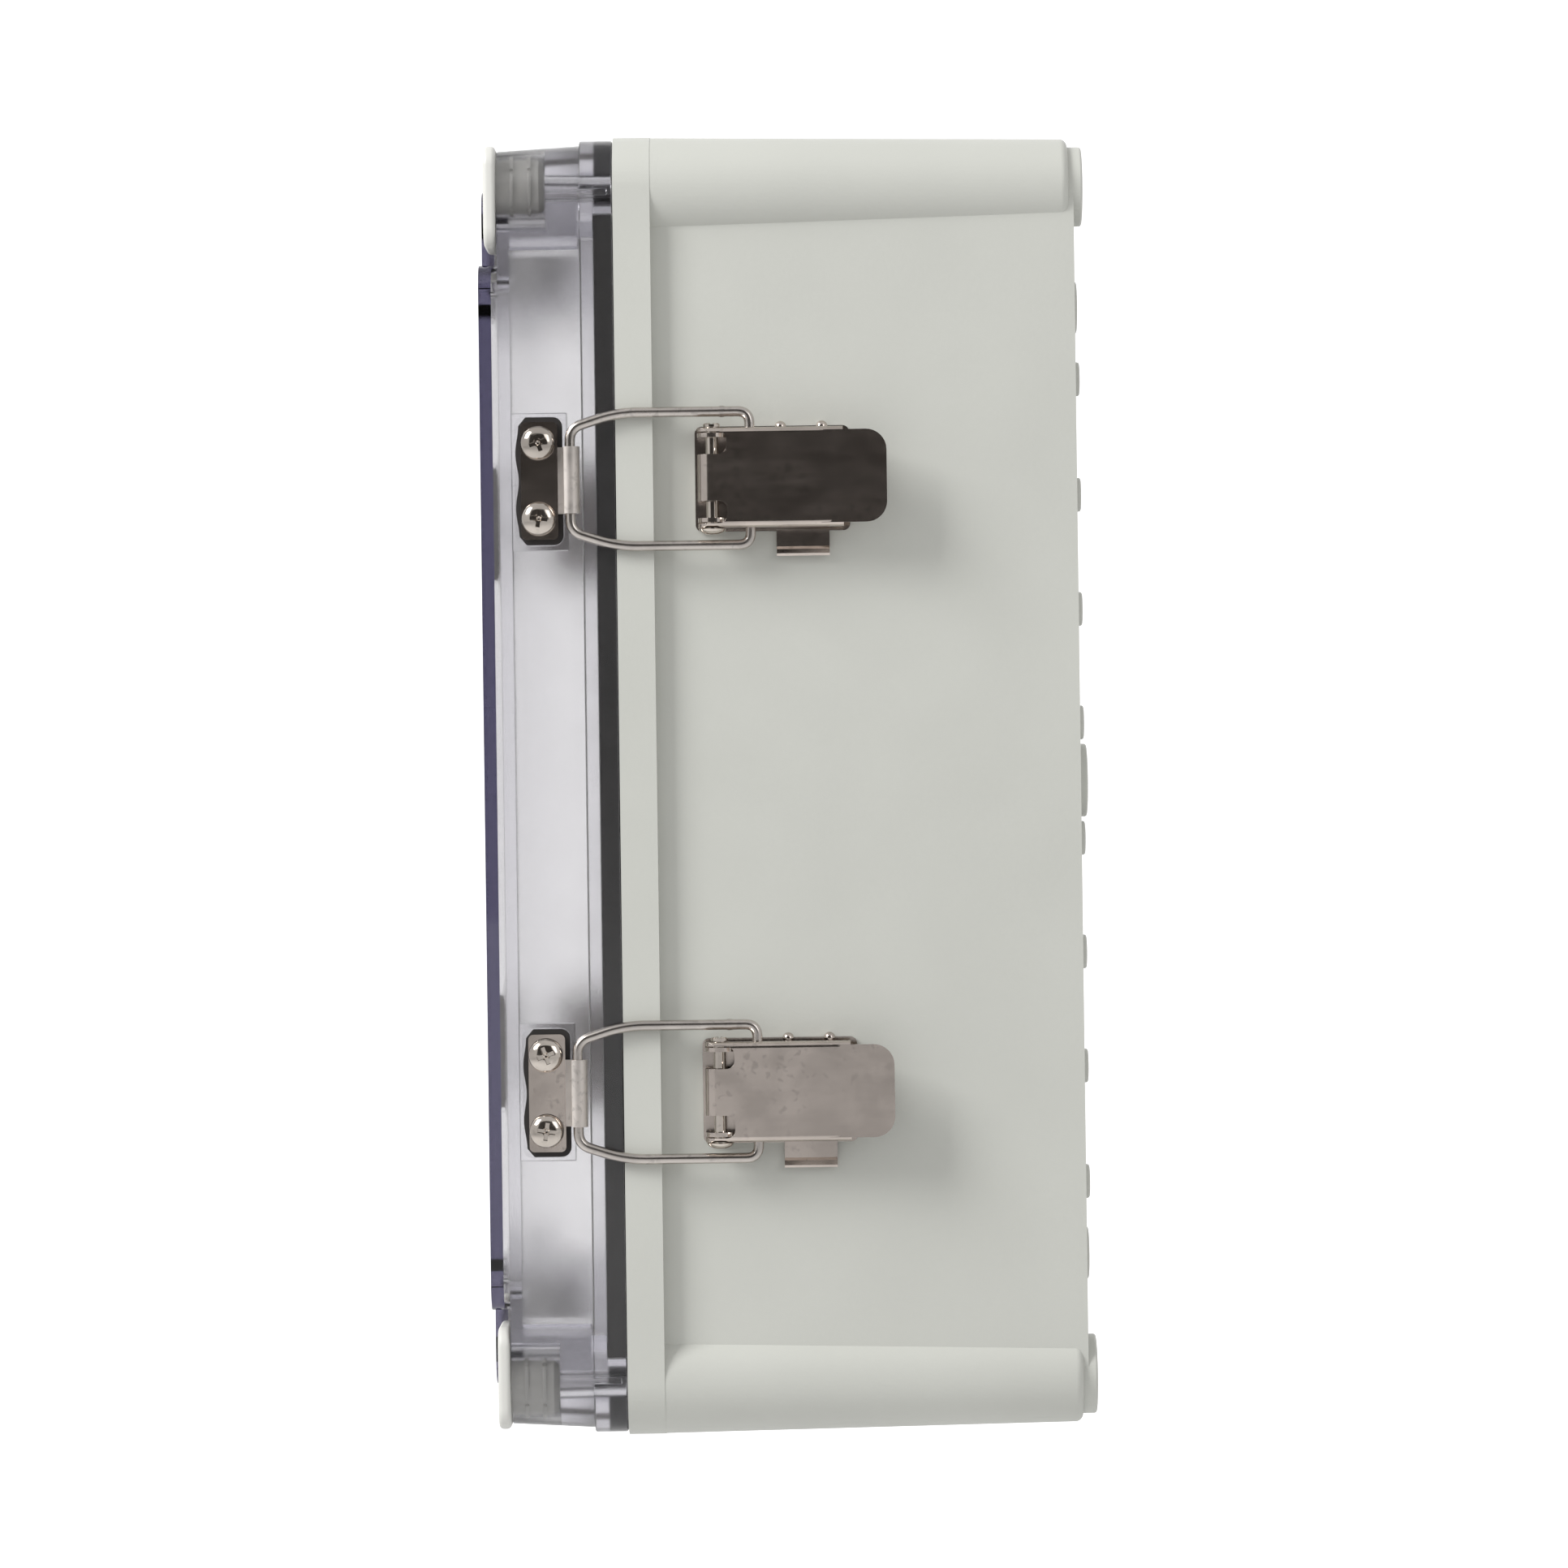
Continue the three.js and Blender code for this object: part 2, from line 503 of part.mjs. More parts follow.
// ---------------------------------------------------------------- plate, rails and devices inside
function mountingPlate() {
  const sheet = prism("y", roundedRect(236, 300, 6), PLATE_Y - PLATE_SHEET, PLATE_Y);
  const holes = CORNERS.map(([sx, sz]) =>
    rod("y", 2.8, PLATE_Y - 5, PLATE_Y + 5, [sx * STANDOFF.x, 0, sz * STANDOFF.z], 12));
  return without(sheet, holes);
}

function plateScrew([sx, sz]) {
  const face = PLATE_Y - PLATE_SHEET - GAP;
  const profile = [
    [0, face - 2.6], [2.2, face - 2.4], [3.7, face - 1.5], [4.2, face - 0.6], [4.2, face],
    [2, face], [2, -7], [1.2, -6], [0, -6],
  ];
  const head = turned("y", profile, [sx * STANDOFF.x, 0, sz * STANDOFF.z], 12);
  const slot = [face - 3, face - 1];
  const x = sx * STANDOFF.x;
  const z = sz * STANDOFF.z;
  return head.subtract(block([x - 2, x + 2], slot, [z - 0.5, z + 0.5]))
    .subtract(block([x - 0.5, x + 0.5], slot, [z - 2, z + 2]));
}

function dinRail(zc) {
  const [back, front] = [RAIL_BACK_Y, RAIL_FRONT_Y];
  const half = [
    [back, 13.5], [front + 1, 13.5], [front + 1, 17.5], [front, 17.5], [front, 12.5], [back - 1, 12.5],
  ];
  const mirrored = half.map(([y, z]) => [y, -z]).reverse();
  const profile = [...half, ...mirrored].map(([y, z]) => [y, zc + z]);
  return prism("x", polygon(profile), -108, 24);
}

// Section of a rail-mounted device in Y and Z: stepped front, rail notch at the back.
function deviceSection(zc, halfHeight, shoulderY, noseHalf, noseY) {
  const back = RAIL_FRONT_Y + 4.6;
  const notch = RAIL_FRONT_Y - GAP;
  const half = [
    [notch, 18], [back, 18], [back, halfHeight], [shoulderY, halfHeight],
    [shoulderY, noseHalf], [noseY, noseHalf],
  ];
  const mirrored = half.map(([y, z]) => [y, -z]).reverse();
  return polygon([...half, ...mirrored].map(([y, z]) => [y, zc + z]));
}

// Wire openings in the top and bottom ends, and the clamp screws in front of them.
function terminalCuts(x, zc, halfHeight, shoulderY) {
  return [1, -1].flatMap((side) => {
    const outer = zc + side * halfHeight;
    const z = [outer - side * 10, outer + side].sort((a, b) => a - b);
    return [
      block([x - 4.2, x + 4.2], [TERMINAL_Y - 4, TERMINAL_Y + 4], z),
      rod("y", 2.6, shoulderY - 1, shoulderY + 3, [x, 0, outer - side * 4.5], 8),
    ];
  });
}

const fuseSwing = (x, half, r) =>
  rod("x", r, x - half, x + half, [0, FUSE_PIVOT.y, RAIL_Z[0] + FUSE_PIVOT.z], 28);

function fuseHolder(x) {
  const zc = RAIL_Z[0];
  const body = prism("x", deviceSection(zc, 39, -62, 30, -80), x - 8.8, x + 8.8);
  const pz = zc + FUSE_PIVOT.z;
  const bay = block([x - 7.3, x + 7.3], [FUSE_PIVOT.y - 20, FUSE_PIVOT.y + 22.5], [pz, pz + 60])
    .intersect(fuseSwing(x, 8, FUSE_SWING + 0.4));
  const heel = fuseSwing(x, 7.3, 9.5);
  return without(body, [bay, heel, ...terminalCuts(x, zc, 39, -62)]);
}

function fuseDrawer(x) {
  const pz = RAIL_Z[0] + FUSE_PIVOT.z;
  const y = FUSE_PIVOT.y;
  const carrier = block([x - 6.9, x + 6.9], [y - 9, y + 22], [pz, pz + 60])
    .intersect(fuseSwing(x, 8, FUSE_SWING));
  const heel = fuseSwing(x, 6.9, 8.9);
  const cradle = block([x - 5.5, x + 5.5], [y + 12, y + 30], [pz + 2.6, pz + 41.4])
    .add(rod("z", 5.5, pz + 2.6, pz + 41.4, [x, y + 12, 0], 14));
  const grip = block([x - 6.9, x + 6.9], [y - 14, y - 8], [pz + 36, pz + 44]);
  const scoop = rod("x", 5, x - 8, x + 8, [0, y - 16, pz + 34], 12);
  // The lower lip is cut back so that the open drawer clears the holder.
  const lipRelief = block([x - 8, x + 8], [y - 10, y - 8], [pz - 10, pz + 6]);
  return without(carrier.add(grip), [lipRelief]).add(heel).subtract(cradle.add(scoop));
}

function fuseLink(x) {
  const pz = RAIL_Z[0] + FUSE_PIVOT.z + 3;
  const profile = [
    [0, 0], [5.15, 0], [5.15, 10], [4.9, 10], [4.9, 28], [5.15, 28], [5.15, 38], [0, 38],
  ];
  return turned("z", profile, [x, FUSE_PIVOT.y + 12, pz], 12);
}

function breakerBody() {
  const zc = RAIL_Z[1];
  const { x, pivotY } = BREAKER;
  const body = prism("x", deviceSection(zc, 40, -58, 22.5, -78), x - 17.8, x + 17.8);
  const cuts = [
    rod("x", 7.6, x - 13, x + 13, [0, pivotY, zc], 20),
    block([x - 13, x + 13], [-79, -74], [zc - 11, zc + 11]),
    block([x - 0.4, x + 0.4], [-79, -77.2], [zc - 23, zc - 11.5]),
    ...[-POLE_PITCH / 2, POLE_PITCH / 2].flatMap((dx) => terminalCuts(x + dx, zc, 40, -58)),
  ];
  return without(body, cuts);
}

function breakerToggle() {
  const zc = RAIL_Z[1];
  const { x, pivotY } = BREAKER;
  const hub = rod("x", 7.2, x - 12.6, x + 12.6, [0, pivotY, zc], 20);
  const arm = prism("x", roundedRect(16, 4.4, 1.6, -10, 0), x - 12.6, x + 12.6);
  return hub.add(arm.rotate([-45, 0, 0]).translate([0, pivotY, zc]));
}

function surgeBase() {
  const zc = RAIL_Z[1];
  const middle = (SPD_X[0] + SPD_X[1]) / 2;
  const body = prism("x", deviceSection(zc, 45, -60, 27.2, -50), middle - 17.8, middle + 17.8);
  const slots = SPD_X.flatMap((x) => [14, -14].map((dz) =>
    block([x - 1.2, x + 1.2], [-51, -43], [zc + dz - 3.3, zc + dz + 3.3])));
  return without(body, [...slots, ...SPD_X.flatMap((x) => terminalCuts(x, zc, 45, -60))]);
}

function surgeCartridge(x) {
  const zc = RAIL_Z[1];
  const body = prism("x", roundedRect(34, 53.6, 2, -67.4, zc), x - 8.7, x + 8.7);
  const window = block([x - 3, x + 3], [-86, -83.9], [zc + 8, zc + 13]);
  const blades = [14, -14].map((dz) =>
    block([x - 0.8, x + 0.8], [-51, -44], [zc + dz - 2.8, zc + dz + 2.8]));
  return body.subtract(window).add(union(blades));
}

// Copper comb joining the four fuse outputs.
function positiveComb() {
  const z = RAIL_Z[0] - 39;
  const bar = block([FUSE_X[0] - 5, FUSE_X[3] + 5], [TERMINAL_Y - 1, TERMINAL_Y + 1], [z - 12, z - 3]);
  const teeth = FUSE_X.map((x) =>
    block([x - 2.5, x + 2.5], [TERMINAL_Y - 1, TERMINAL_Y + 1], [z - 4, z + 8]));
  return union([bar, ...teeth]);
}

const NEGATIVE_BAR = { x: [46, 104], y: [-46, -38], z: [52, 62] };
const EARTH_BAR = { x: [46, 104], y: [-30, -22], z: [-112, -102] };

// Brass bar with cross holes for the wires and clamp screws in its front.
function terminalBar({ x, y, z }) {
  const bar = block(x, y, z);
  const ways = 5;
  const pitch = (x[1] - x[0]) / ways;
  const cuts = [];
  for (let i = 0; i < ways; i += 1) {
    const cx = x[0] + pitch * (i + 0.5);
    cuts.push(rod("z", 2.8, z[0] - 1, z[1] + 1, [cx, (y[0] + y[1]) / 2, 0], 8));
    cuts.push(rod("y", 1.8, y[0] - 1, y[0] + 3, [cx, 0, (z[0] + z[1]) / 2], 8));
  }
  return without(bar, cuts);
}

function negativeBarBase() {
  const { x, y, z } = NEGATIVE_BAR;
  const face = PLATE_Y - PLATE_SHEET - GAP;
  const post = (x0, x1) => block([x0, x1], [y[1] + GAP, face], z);
  const beam = block([x[0] + 2, x[1] - 2], [face - 4, face], z);
  return union([post(x[0], x[0] + 8), post(x[1] - 8, x[1]), beam]);
}

function earthBar() {
  const { x, y, z } = EARTH_BAR;
  const depth = [y[1] - 1, PLATE_Y - PLATE_SHEET - GAP];
  const feet = [[x[0], x[0] + 6], [x[1] - 6, x[1]]].map((span) => block(span, depth, z));
  return terminalBar(EARTH_BAR).add(union(feet));
}

function cable(points, r) {
  const knots = points.map((p) => new THREE.Vector3(...p));
  const path = new THREE.CatmullRomCurve3(knots, false, "centripetal");
  return solid(swept(path, r, 16, 6));
}

const BREAKER_TOP = RAIL_Z[1] + 40;

function positiveCable() {
  const x = BREAKER.x - POLE_PITCH / 2;
  const start = RAIL_Z[0] - 39 - 12 - GAP;
  const heights = [start, (start + BREAKER_TOP) / 2, BREAKER_TOP - 8];
  return cable(heights.map((z) => [x, TERMINAL_Y, z]), 2.8);
}

function negativeCable() {
  const x = BREAKER.x + POLE_PITCH / 2;
  const bar = NEGATIVE_BAR;
  const cx = bar.x[0] + ((bar.x[1] - bar.x[0]) / 5) * 0.5;
  const cy = (bar.y[0] + bar.y[1]) / 2;
  const low = bar.z[0];
  return cable([
    [cx, cy, low + 6], [cx, cy, low - 4], [cx - 3, cy - 2, low - 20], [cx - 18, cy - 8, low - 42],
    [-10, TERMINAL_Y - 16, 0], [x + 16, TERMINAL_Y - 10, -4],
    [x, TERMINAL_Y, BREAKER_TOP + 6], [x, TERMINAL_Y, BREAKER_TOP - 8],
  ], 2);
}

// ---------------------------------------------------------------- materials and assembly
const material = (color, roughness, metalness = 0, opacity = 1) =>
  new THREE.MeshStandardMaterial({ color, roughness, metalness, opacity, transparent: opacity < 1 });

const FINISH = {
  greyPlastic: () => material(0xc8ccc5, 0.6),
  clear: () => material(0xb9bcc4, 0.1, 0, 0.35),
  rubber: () => material(0x26201e, 0.8),
  plug: () => material(0xb7b7ac, 0.55),
  steel: () => material(0xb0aaa4, 0.3, 1),
  zinc: () => material(0xb8bab8, 0.45, 1),
  device: () => material(0xd9dad6, 0.5),
  drawer: () => material(0x8f9698, 0.5),
  black: () => material(0x232425, 0.5),
  red: () => material(0xa32a22, 0.5),
  copper: () => material(0xb87345, 0.35, 1),
  brass: () => material(0xc0a25a, 0.35, 1),
  ceramic: () => material(0xe8e6df, 0.4),
};

const group = new THREE.Group();
group.name = "dc_combiner_box";

function place(name, part, finish) {
  const mesh = part.getMesh();
  const geometry = new THREE.BufferGeometry();
  geometry.setAttribute("position", new THREE.BufferAttribute(new Float32Array(mesh.vertProperties), 3));
  geometry.setIndex(new THREE.BufferAttribute(new Uint32Array(mesh.triVerts), 1));
  const node = new THREE.Mesh(geometry, finish());
  node.name = name;
  group.add(node);
}

place("enclosure_base", enclosureBase(), FINISH.greyPlastic);
place("lid_shell", lidShell(), FINISH.clear);
place("lid_gasket", lidGasket(), FINISH.rubber);
CORNERS.forEach((corner, i) => place(`corner_plug_${i + 1}`, cornerPlug(corner), FINISH.plug));

HARDWARE_Z.forEach((zc, i) => {
  const side = SIDES[i];
  const hinge = hingeParts(zc);
  place(`hinge_base_leaf_${side}`, hinge.baseLeaf, FINISH.steel);
  place(`hinge_lid_leaf_${side}`, hinge.lidLeaf, FINISH.steel);
  place(`hinge_pin_${side}`, hinge.pinPart, FINISH.steel);
  place(`latch_base_plate_${side}`, latchBasePlate(zc), FINISH.steel);
  place(`latch_pivot_${side}`, latchPivot(zc), FINISH.steel);
  place(`latch_lever_${side}`, latchLever(zc), FINISH.steel);
  place(`latch_bail_${side}`, latchBail(zc), FINISH.steel);
  place(`keeper_${side}`, keeper(zc), FINISH.steel);
  place(`keeper_pad_${side}`, keeperPad(zc), FINISH.rubber);
  [1, -1].forEach((sign, k) => {
    const z = zc + sign * KEEPER_SCREW.z;
    const screw = panScrew(KEEPER.x + HOOK.sheet + GAP, KEEPER_SCREW.y, z, KEEPER_SCREW.headR, 1.7, 130);
    place(`keeper_screw_${side}_${k + 1}`, screw, FINISH.steel);
  });
});

place("mounting_plate", mountingPlate(), FINISH.zinc);
CORNERS.forEach((corner, i) => place(`plate_screw_${i + 1}`, plateScrew(corner), FINISH.steel));
RAIL_Z.forEach((zc, i) => place(`din_rail_${SIDES[i]}`, dinRail(zc), FINISH.zinc));
FUSE_X.forEach((x, i) => {
  place(`fuse_holder_${i + 1}`, fuseHolder(x), FINISH.device);
  place(`fuse_drawer_${i + 1}`, fuseDrawer(x), FINISH.drawer);
  place(`fuse_link_${i + 1}`, fuseLink(x), FINISH.ceramic);
});
place("breaker_body", breakerBody(), FINISH.device);
place("breaker_toggle", breakerToggle(), FINISH.black);
place("surge_base", surgeBase(), FINISH.device);
SPD_X.forEach((x, i) => place(`surge_cartridge_${i + 1}`, surgeCartridge(x), FINISH.red));
place("positive_comb", positiveComb(), FINISH.copper);
place("negative_bar", terminalBar(NEGATIVE_BAR), FINISH.brass);
place("negative_bar_base", negativeBarBase(), FINISH.black);
place("earth_bar", earthBar(), FINISH.brass);
place("positive_cable", positiveCable(), FINISH.red);
place("negative_cable", negativeCable(), FINISH.black);

export default group;
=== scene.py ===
"""DC combiner box: the visible pieces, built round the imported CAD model.

Frame: metres, X towards the latch side, Y into the wall (the lid faces -Y), Z up.
Sizes below are in millimetres and become metres when a mesh is made.
"""
import math

import bmesh
import bpy
from mathutils import Euler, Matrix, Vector


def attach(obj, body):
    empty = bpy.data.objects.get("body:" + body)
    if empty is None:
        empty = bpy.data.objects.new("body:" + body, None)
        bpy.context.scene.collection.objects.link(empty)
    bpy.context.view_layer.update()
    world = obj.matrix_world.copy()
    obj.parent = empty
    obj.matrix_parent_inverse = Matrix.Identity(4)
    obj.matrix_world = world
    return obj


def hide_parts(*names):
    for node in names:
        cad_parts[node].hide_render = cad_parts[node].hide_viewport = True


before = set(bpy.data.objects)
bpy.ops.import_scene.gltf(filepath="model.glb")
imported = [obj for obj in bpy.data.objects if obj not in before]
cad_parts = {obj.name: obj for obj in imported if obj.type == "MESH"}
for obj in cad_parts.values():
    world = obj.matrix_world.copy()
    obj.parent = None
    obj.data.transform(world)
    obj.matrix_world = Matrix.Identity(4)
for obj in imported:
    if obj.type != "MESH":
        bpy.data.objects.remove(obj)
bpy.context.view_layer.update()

MM = 0.001
SIDES = {"upper": 89, "lower": -89}
CORNERS = [(1, 1), (1, -1), (-1, -1), (-1, 1)]

# Enclosure
WIDTH, HEIGHT = 280, 380
BACK_WALL_Y, PARTING_Y, RIM_BACK_Y = -2.7, -137, -126.2
SHOULDER_Y, FRONT_Y = -171, -177
RIM_STEP, WALL, CORNER_R = 4.8, 3.4, 16
PILLAR_X, PILLAR_Z = WIDTH / 2 - CORNER_R, HEIGHT / 2 - CORNER_R
PILLAR_BACK_R = CORNER_R - 2
SCREW_BORE_R = 3.2
PLATE_Y = -14
STANDOFF = (100, 135)
GAP = 0.3

# Lid and seal
LID_HALF_X, LID_HALF_Z, LID_WALL = 139.2, 189.2, 3.7
LID_BACK_Y = PARTING_Y - GAP
LID_DRAFT = math.tan(math.radians(3))
LID_SET_IN = 0.8  # the lid in front of its flange is this much narrower on each side
PANEL_SIDE, PANEL_END = (127.7, 153.5), (103, 177.5)
LEDGE_FRONT_Y, CHANNEL_FLOOR_Y = -146.5, -143
SEAL_HALF_X, SEAL_HALF_Z, SEAL_WIDTH, SEAL_CORNER_R, LIP = 136, 186, 3.8, 7.5, 2.3
POCKET_FLOOR, POCKET_Y, POCKET_LENGTH, POCKET_WIDTH = 136.6, -159.35, 14.3, 37.8
PLUG_BODY_R, PLUG_BODY_LENGTH = 11.25, 14
PLUG_RIB_HEIGHT, PLUG_RIB_DEPTHS, PLUG_SLIT_HALF = 1.1, (4.5, 9.7), 0.9

# Latch
PIVOT_X, PIVOT_Y, PIVOT_R, EAR_R = 143.5, -109, 1.75, 4.2
CROSSBAR_X, CROSSBAR_Y, HOOK_Y, WIRE_R = 142, -98, -150.2, 1.5
LEVER_TOP, LEVER_HALF, LEVER_SHEET, FLANGE_END, LEVER_END = 148, 14.5, 1.2, -71, -58.4
KEEPER_X, KEEPER_SHEET, KEEPER_FRONT, KEEPER_BACK = 139.2, 1.0, -164.6, -153.9
SCREW_Y, SCREW_Z = -159.5, 11


# ------------------------------------------------------------------ solids
def place(axis, u, v, w):
    """A point from its place in the section (u, v) and its distance w along the axis."""
    return {"x": (w, u, v), "y": (u, w, v), "z": (u, v, w)}[axis]


def new_object(name, vertices, faces):
    mesh = bpy.data.meshes.new(name)
    mesh.from_pydata([Vector(v) * MM for v in vertices], [], faces)
    build = bmesh.new()
    build.from_mesh(mesh)
    bmesh.ops.recalc_face_normals(build, faces=build.faces)
    build.to_mesh(mesh)
    build.free()
    obj = bpy.data.objects.new(name, mesh)
    bpy.context.scene.collection.objects.link(obj)
    return obj


def prism(axis, outline, low, high, name="cut"):
    count = len(outline)
    vertices = [place(axis, u, v, w) for w in (low, high) for u, v in outline]
    faces = [tuple(range(count)), tuple(range(count, 2 * count))]
    faces += [(i, (i + 1) % count, count + (i + 1) % count, count + i) for i in range(count)]
    return new_object(name, vertices, faces)


def lathe(axis, profile, centre, segments=48, name="cut"):
    """Closed solid of revolution; the profile runs from the axis back to the axis."""
    vertices, rings = [], []
    for radius, along in profile:
        if radius < 1e-6:
            rings.append([len(vertices)])
            vertices.append(place(axis, 0, 0, along))
            continue
        rings.append(list(range(len(vertices), len(vertices) + segments)))
        for k in range(segments):
            turn = 2 * math.pi * k / segments
            vertices.append(place(axis, radius * math.cos(turn), radius * math.sin(turn), along))
    faces = []
    for a, b in zip(rings, rings[1:]):
        for k in range(segments):
            quad = [a[k % len(a)], a[(k + 1) % len(a)], b[(k + 1) % len(b)], b[k % len(b)]]
            corners = list(dict.fromkeys(quad))
            if len(corners) > 2:
                faces.append(tuple(corners))
    moved = [tuple(p + c for p, c in zip(v, centre)) for v in vertices]
    return new_object(name, moved, faces)


def rod(axis, radius, low, high, centre, segments=48):
    return lathe(axis, [(0, low), (radius, low), (radius, high), (0, high)], centre, segments)


def block(x, y, z):
    outline = [(x[0], y[0]), (x[1], y[0]), (x[1], y[1]), (x[0], y[1])]
    return prism("z", outline, z[0], z[1])


def arc(cx, cy, radius, start, end, steps):
    angles = [math.radians(start + (end - start) * i / steps) for i in range(steps + 1)]
    return [(cx + radius * math.cos(a), cy + radius * math.sin(a)) for a in angles]


def rounded(width, height, radius, cx=0, cy=0, steps=10):
    x, y = width / 2 - radius, height / 2 - radius
    points = []
    for sx, sy, start in ((1, -1, -90), (1, 1, 0), (-1, 1, 90), (-1, -1, 180)):
        points += arc(cx + sx * x, cy + sy * y, radius, start, start + 90, steps)
    return points


def drafted(obj, from_y, slope):
    """Narrows a solid evenly towards the front, as a moulding's draft does."""
    for vertex in obj.data.vertices:
        inset = slope * (from_y * MM - vertex.co.y)
        vertex.co.x -= math.copysign(inset, vertex.co.x)
        vertex.co.z -= math.copysign(inset, vertex.co.z)
    return obj


def applied(obj):
    """Bakes the modifiers into the mesh."""
    graph = bpy.context.evaluated_depsgraph_get()
    mesh = bpy.data.meshes.new_from_object(obj.evaluated_get(graph))
    obj.modifiers.clear()
    obj.data = mesh
    return obj


def forget_normals(obj):
    """Drops stored shading normals, which no longer fit once the shape is cut or joined."""
    stored = obj.data.attributes.get("custom_normal")
    if stored:
        obj.data.attributes.remove(stored)


def combine(base, others, operation):
    for piece in (base, *others):
        forget_normals(piece)
    for other in others:
        step = base.modifiers.new("join", "BOOLEAN")
        step.operation = operation
        step.solver = "EXACT"
        step.object = other
    bpy.context.view_layer.update()
    applied(base)
    for other in others:
        bpy.data.objects.remove(other)
    return base


def union(base, *others):
    return combine(base, others, "UNION")


def cut(base, *others):
    return combine(base, others, "DIFFERENCE")


def soften(obj, width=0.0, segments=2, angle=32):
    """Rounds the edges, and shades smooth across everything flatter than the angle.

    Large flat faces keep flat normals, so that clear walls stay clear.
    """
    if width:
        edge = obj.modifiers.new("edge", "BEVEL")
        edge.width = width * MM
        edge.segments = segments
        edge.limit_method = "ANGLE"
        edge.angle_limit = math.radians(angle)
        edge.miter_outer = "MITER_ARC"
    weighted = obj.modifiers.new("shade", "WEIGHTED_NORMAL")
    weighted.weight = 90
    weighted.keep_sharp = True
    for polygon in obj.data.polygons:
        polygon.use_smooth = True
    obj.data.set_sharp_from_angle(angle=math.radians(angle))
    return applied(obj)


def finish_piece(obj, name, body, material, slot, *nodes):
    obj.name = name
    obj.data.name = name
    obj.data.materials.clear()
    obj.data.materials.append(material)
    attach(obj, body)
    if nodes:
        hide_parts(*nodes)
    return obj


# ------------------------------------------------------------------ materials
class Nodes:
    """Small helper for building a procedural material."""

    def __init__(self, name, color, roughness, metallic=0.0):
        self.material = bpy.data.materials.new(name)
        self.material.use_nodes = True
        self.tree = self.material.node_tree
        self.shader = self.tree.nodes["Principled BSDF"]
        self.shader.inputs["Base Color"].default_value = (*color, 1)
        self.shader.inputs["Roughness"].default_value = roughness
        self.shader.inputs["Metallic"].default_value = metallic
        self.coords = self.tree.nodes.new("ShaderNodeTexCoord").outputs["Object"]

    def set(self, **values):
        for name, value in values.items():
            self.shader.inputs[name.replace("_", " ")].default_value = value
        return self

    def link(self, source, target):
        self.tree.links.new(source, target)

    def stretched(self, scale):
        mapping = self.tree.nodes.new("ShaderNodeMapping")
        mapping.inputs["Scale"].default_value = scale
        self.link(self.coords, mapping.inputs["Vector"])
        return mapping.outputs["Vector"]

    def noise(self, scale, detail=3.0, stretch=(1, 1, 1), distortion=0.0):
        node = self.tree.nodes.new("ShaderNodeTexNoise")
        node.inputs["Scale"].default_value = scale
        node.inputs["Detail"].default_value = detail
        node.inputs["Distortion"].default_value = distortion
        self.link(self.stretched(stretch), node.inputs["Vector"])
        return node.outputs["Fac"]

    def ramp(self, value, low, high, from_low=0.3, from_high=0.7):
        node = self.tree.nodes.new("ShaderNodeMapRange")
        node.inputs["From Min"].default_value = from_low
        node.inputs["From Max"].default_value = from_high
        node.inputs["To Min"].default_value = low
        node.inputs["To Max"].default_value = high
        self.link(value, node.inputs["Value"])
        return node.outputs["Result"]

    def math(self, operation, first, second):
        node = self.tree.nodes.new("ShaderNodeMath")
        node.operation = operation
        self.link(first, node.inputs[0])
        self.link(second, node.inputs[1])
        return node.outputs["Value"]

    def mix(self, factor, first, second):
        node = self.tree.nodes.new("ShaderNodeMix")
        node.data_type = "RGBA"
        self.link(factor, node.inputs["Factor"])
        node.inputs[6].default_value = (*first, 1)
        node.inputs[7].default_value = (*second, 1)
        return node.outputs[2]

    def bump(self, height, distance, strength=1.0):
        node = self.tree.nodes.new("ShaderNodeBump")
        node.inputs["Strength"].default_value = strength
        node.inputs["Distance"].default_value = distance
        self.link(height, node.inputs["Height"])
        self.link(node.outputs["Normal"], self.shader.inputs["Normal"])
        return self


def moulded(name, color, roughness=0.5, grain=0.00004, scale=900, variation=0.03):
    """Moulded plastic: fine spark-eroded grain, faint cloudiness, uneven sheen."""
    made = Nodes(name, color, roughness)
    cloud = made.noise(14, 2)
    darker = tuple(c * (1 - variation) for c in color)
    lighter = tuple(min(1, c * (1 + variation)) for c in color)
    made.link(made.mix(made.ramp(cloud, 0, 1), darker, lighter), made.shader.inputs["Base Color"])
    sheen = made.ramp(made.noise(60, 4), roughness - 0.06, roughness + 0.06)
    made.link(sheen, made.shader.inputs["Roughness"])
    return made.bump(made.noise(scale, 2), grain).set(IOR=1.5)


def sheet_metal(name, color, roughness, stretch, scratches=0.06, grain=0.000015):
    """Rolled stainless sheet: fine lines along the rolling direction, faint stains and rubs."""
    made = Nodes(name, color, roughness, 1.0)
    lines = made.noise(260, 3, stretch)
    stains = made.ramp(made.noise(45, 4, distortion=0.6), 0, 1, 0.45, 0.64)
    specks = made.ramp(made.noise(420, 5, distortion=0.4), 0, 1, 0.55, 0.66)
    dull = tuple(c * 0.8 for c in color)
    marks = made.math("MAXIMUM", stains, specks)
    made.link(made.mix(marks, color, dull), made.shader.inputs["Base Color"])
    brushed = made.ramp(lines, roughness - scratches, roughness + scratches)
    made.link(brushed, made.shader.inputs["Roughness"])
    return made.bump(lines, grain)


CLEAR_FROST = 0.13  # roughness added behind the polished front
FROST_START_Y = -172.5
VIOLET, VIOLET_DENSITY = (0.35, 0.33, 0.47), 15.0


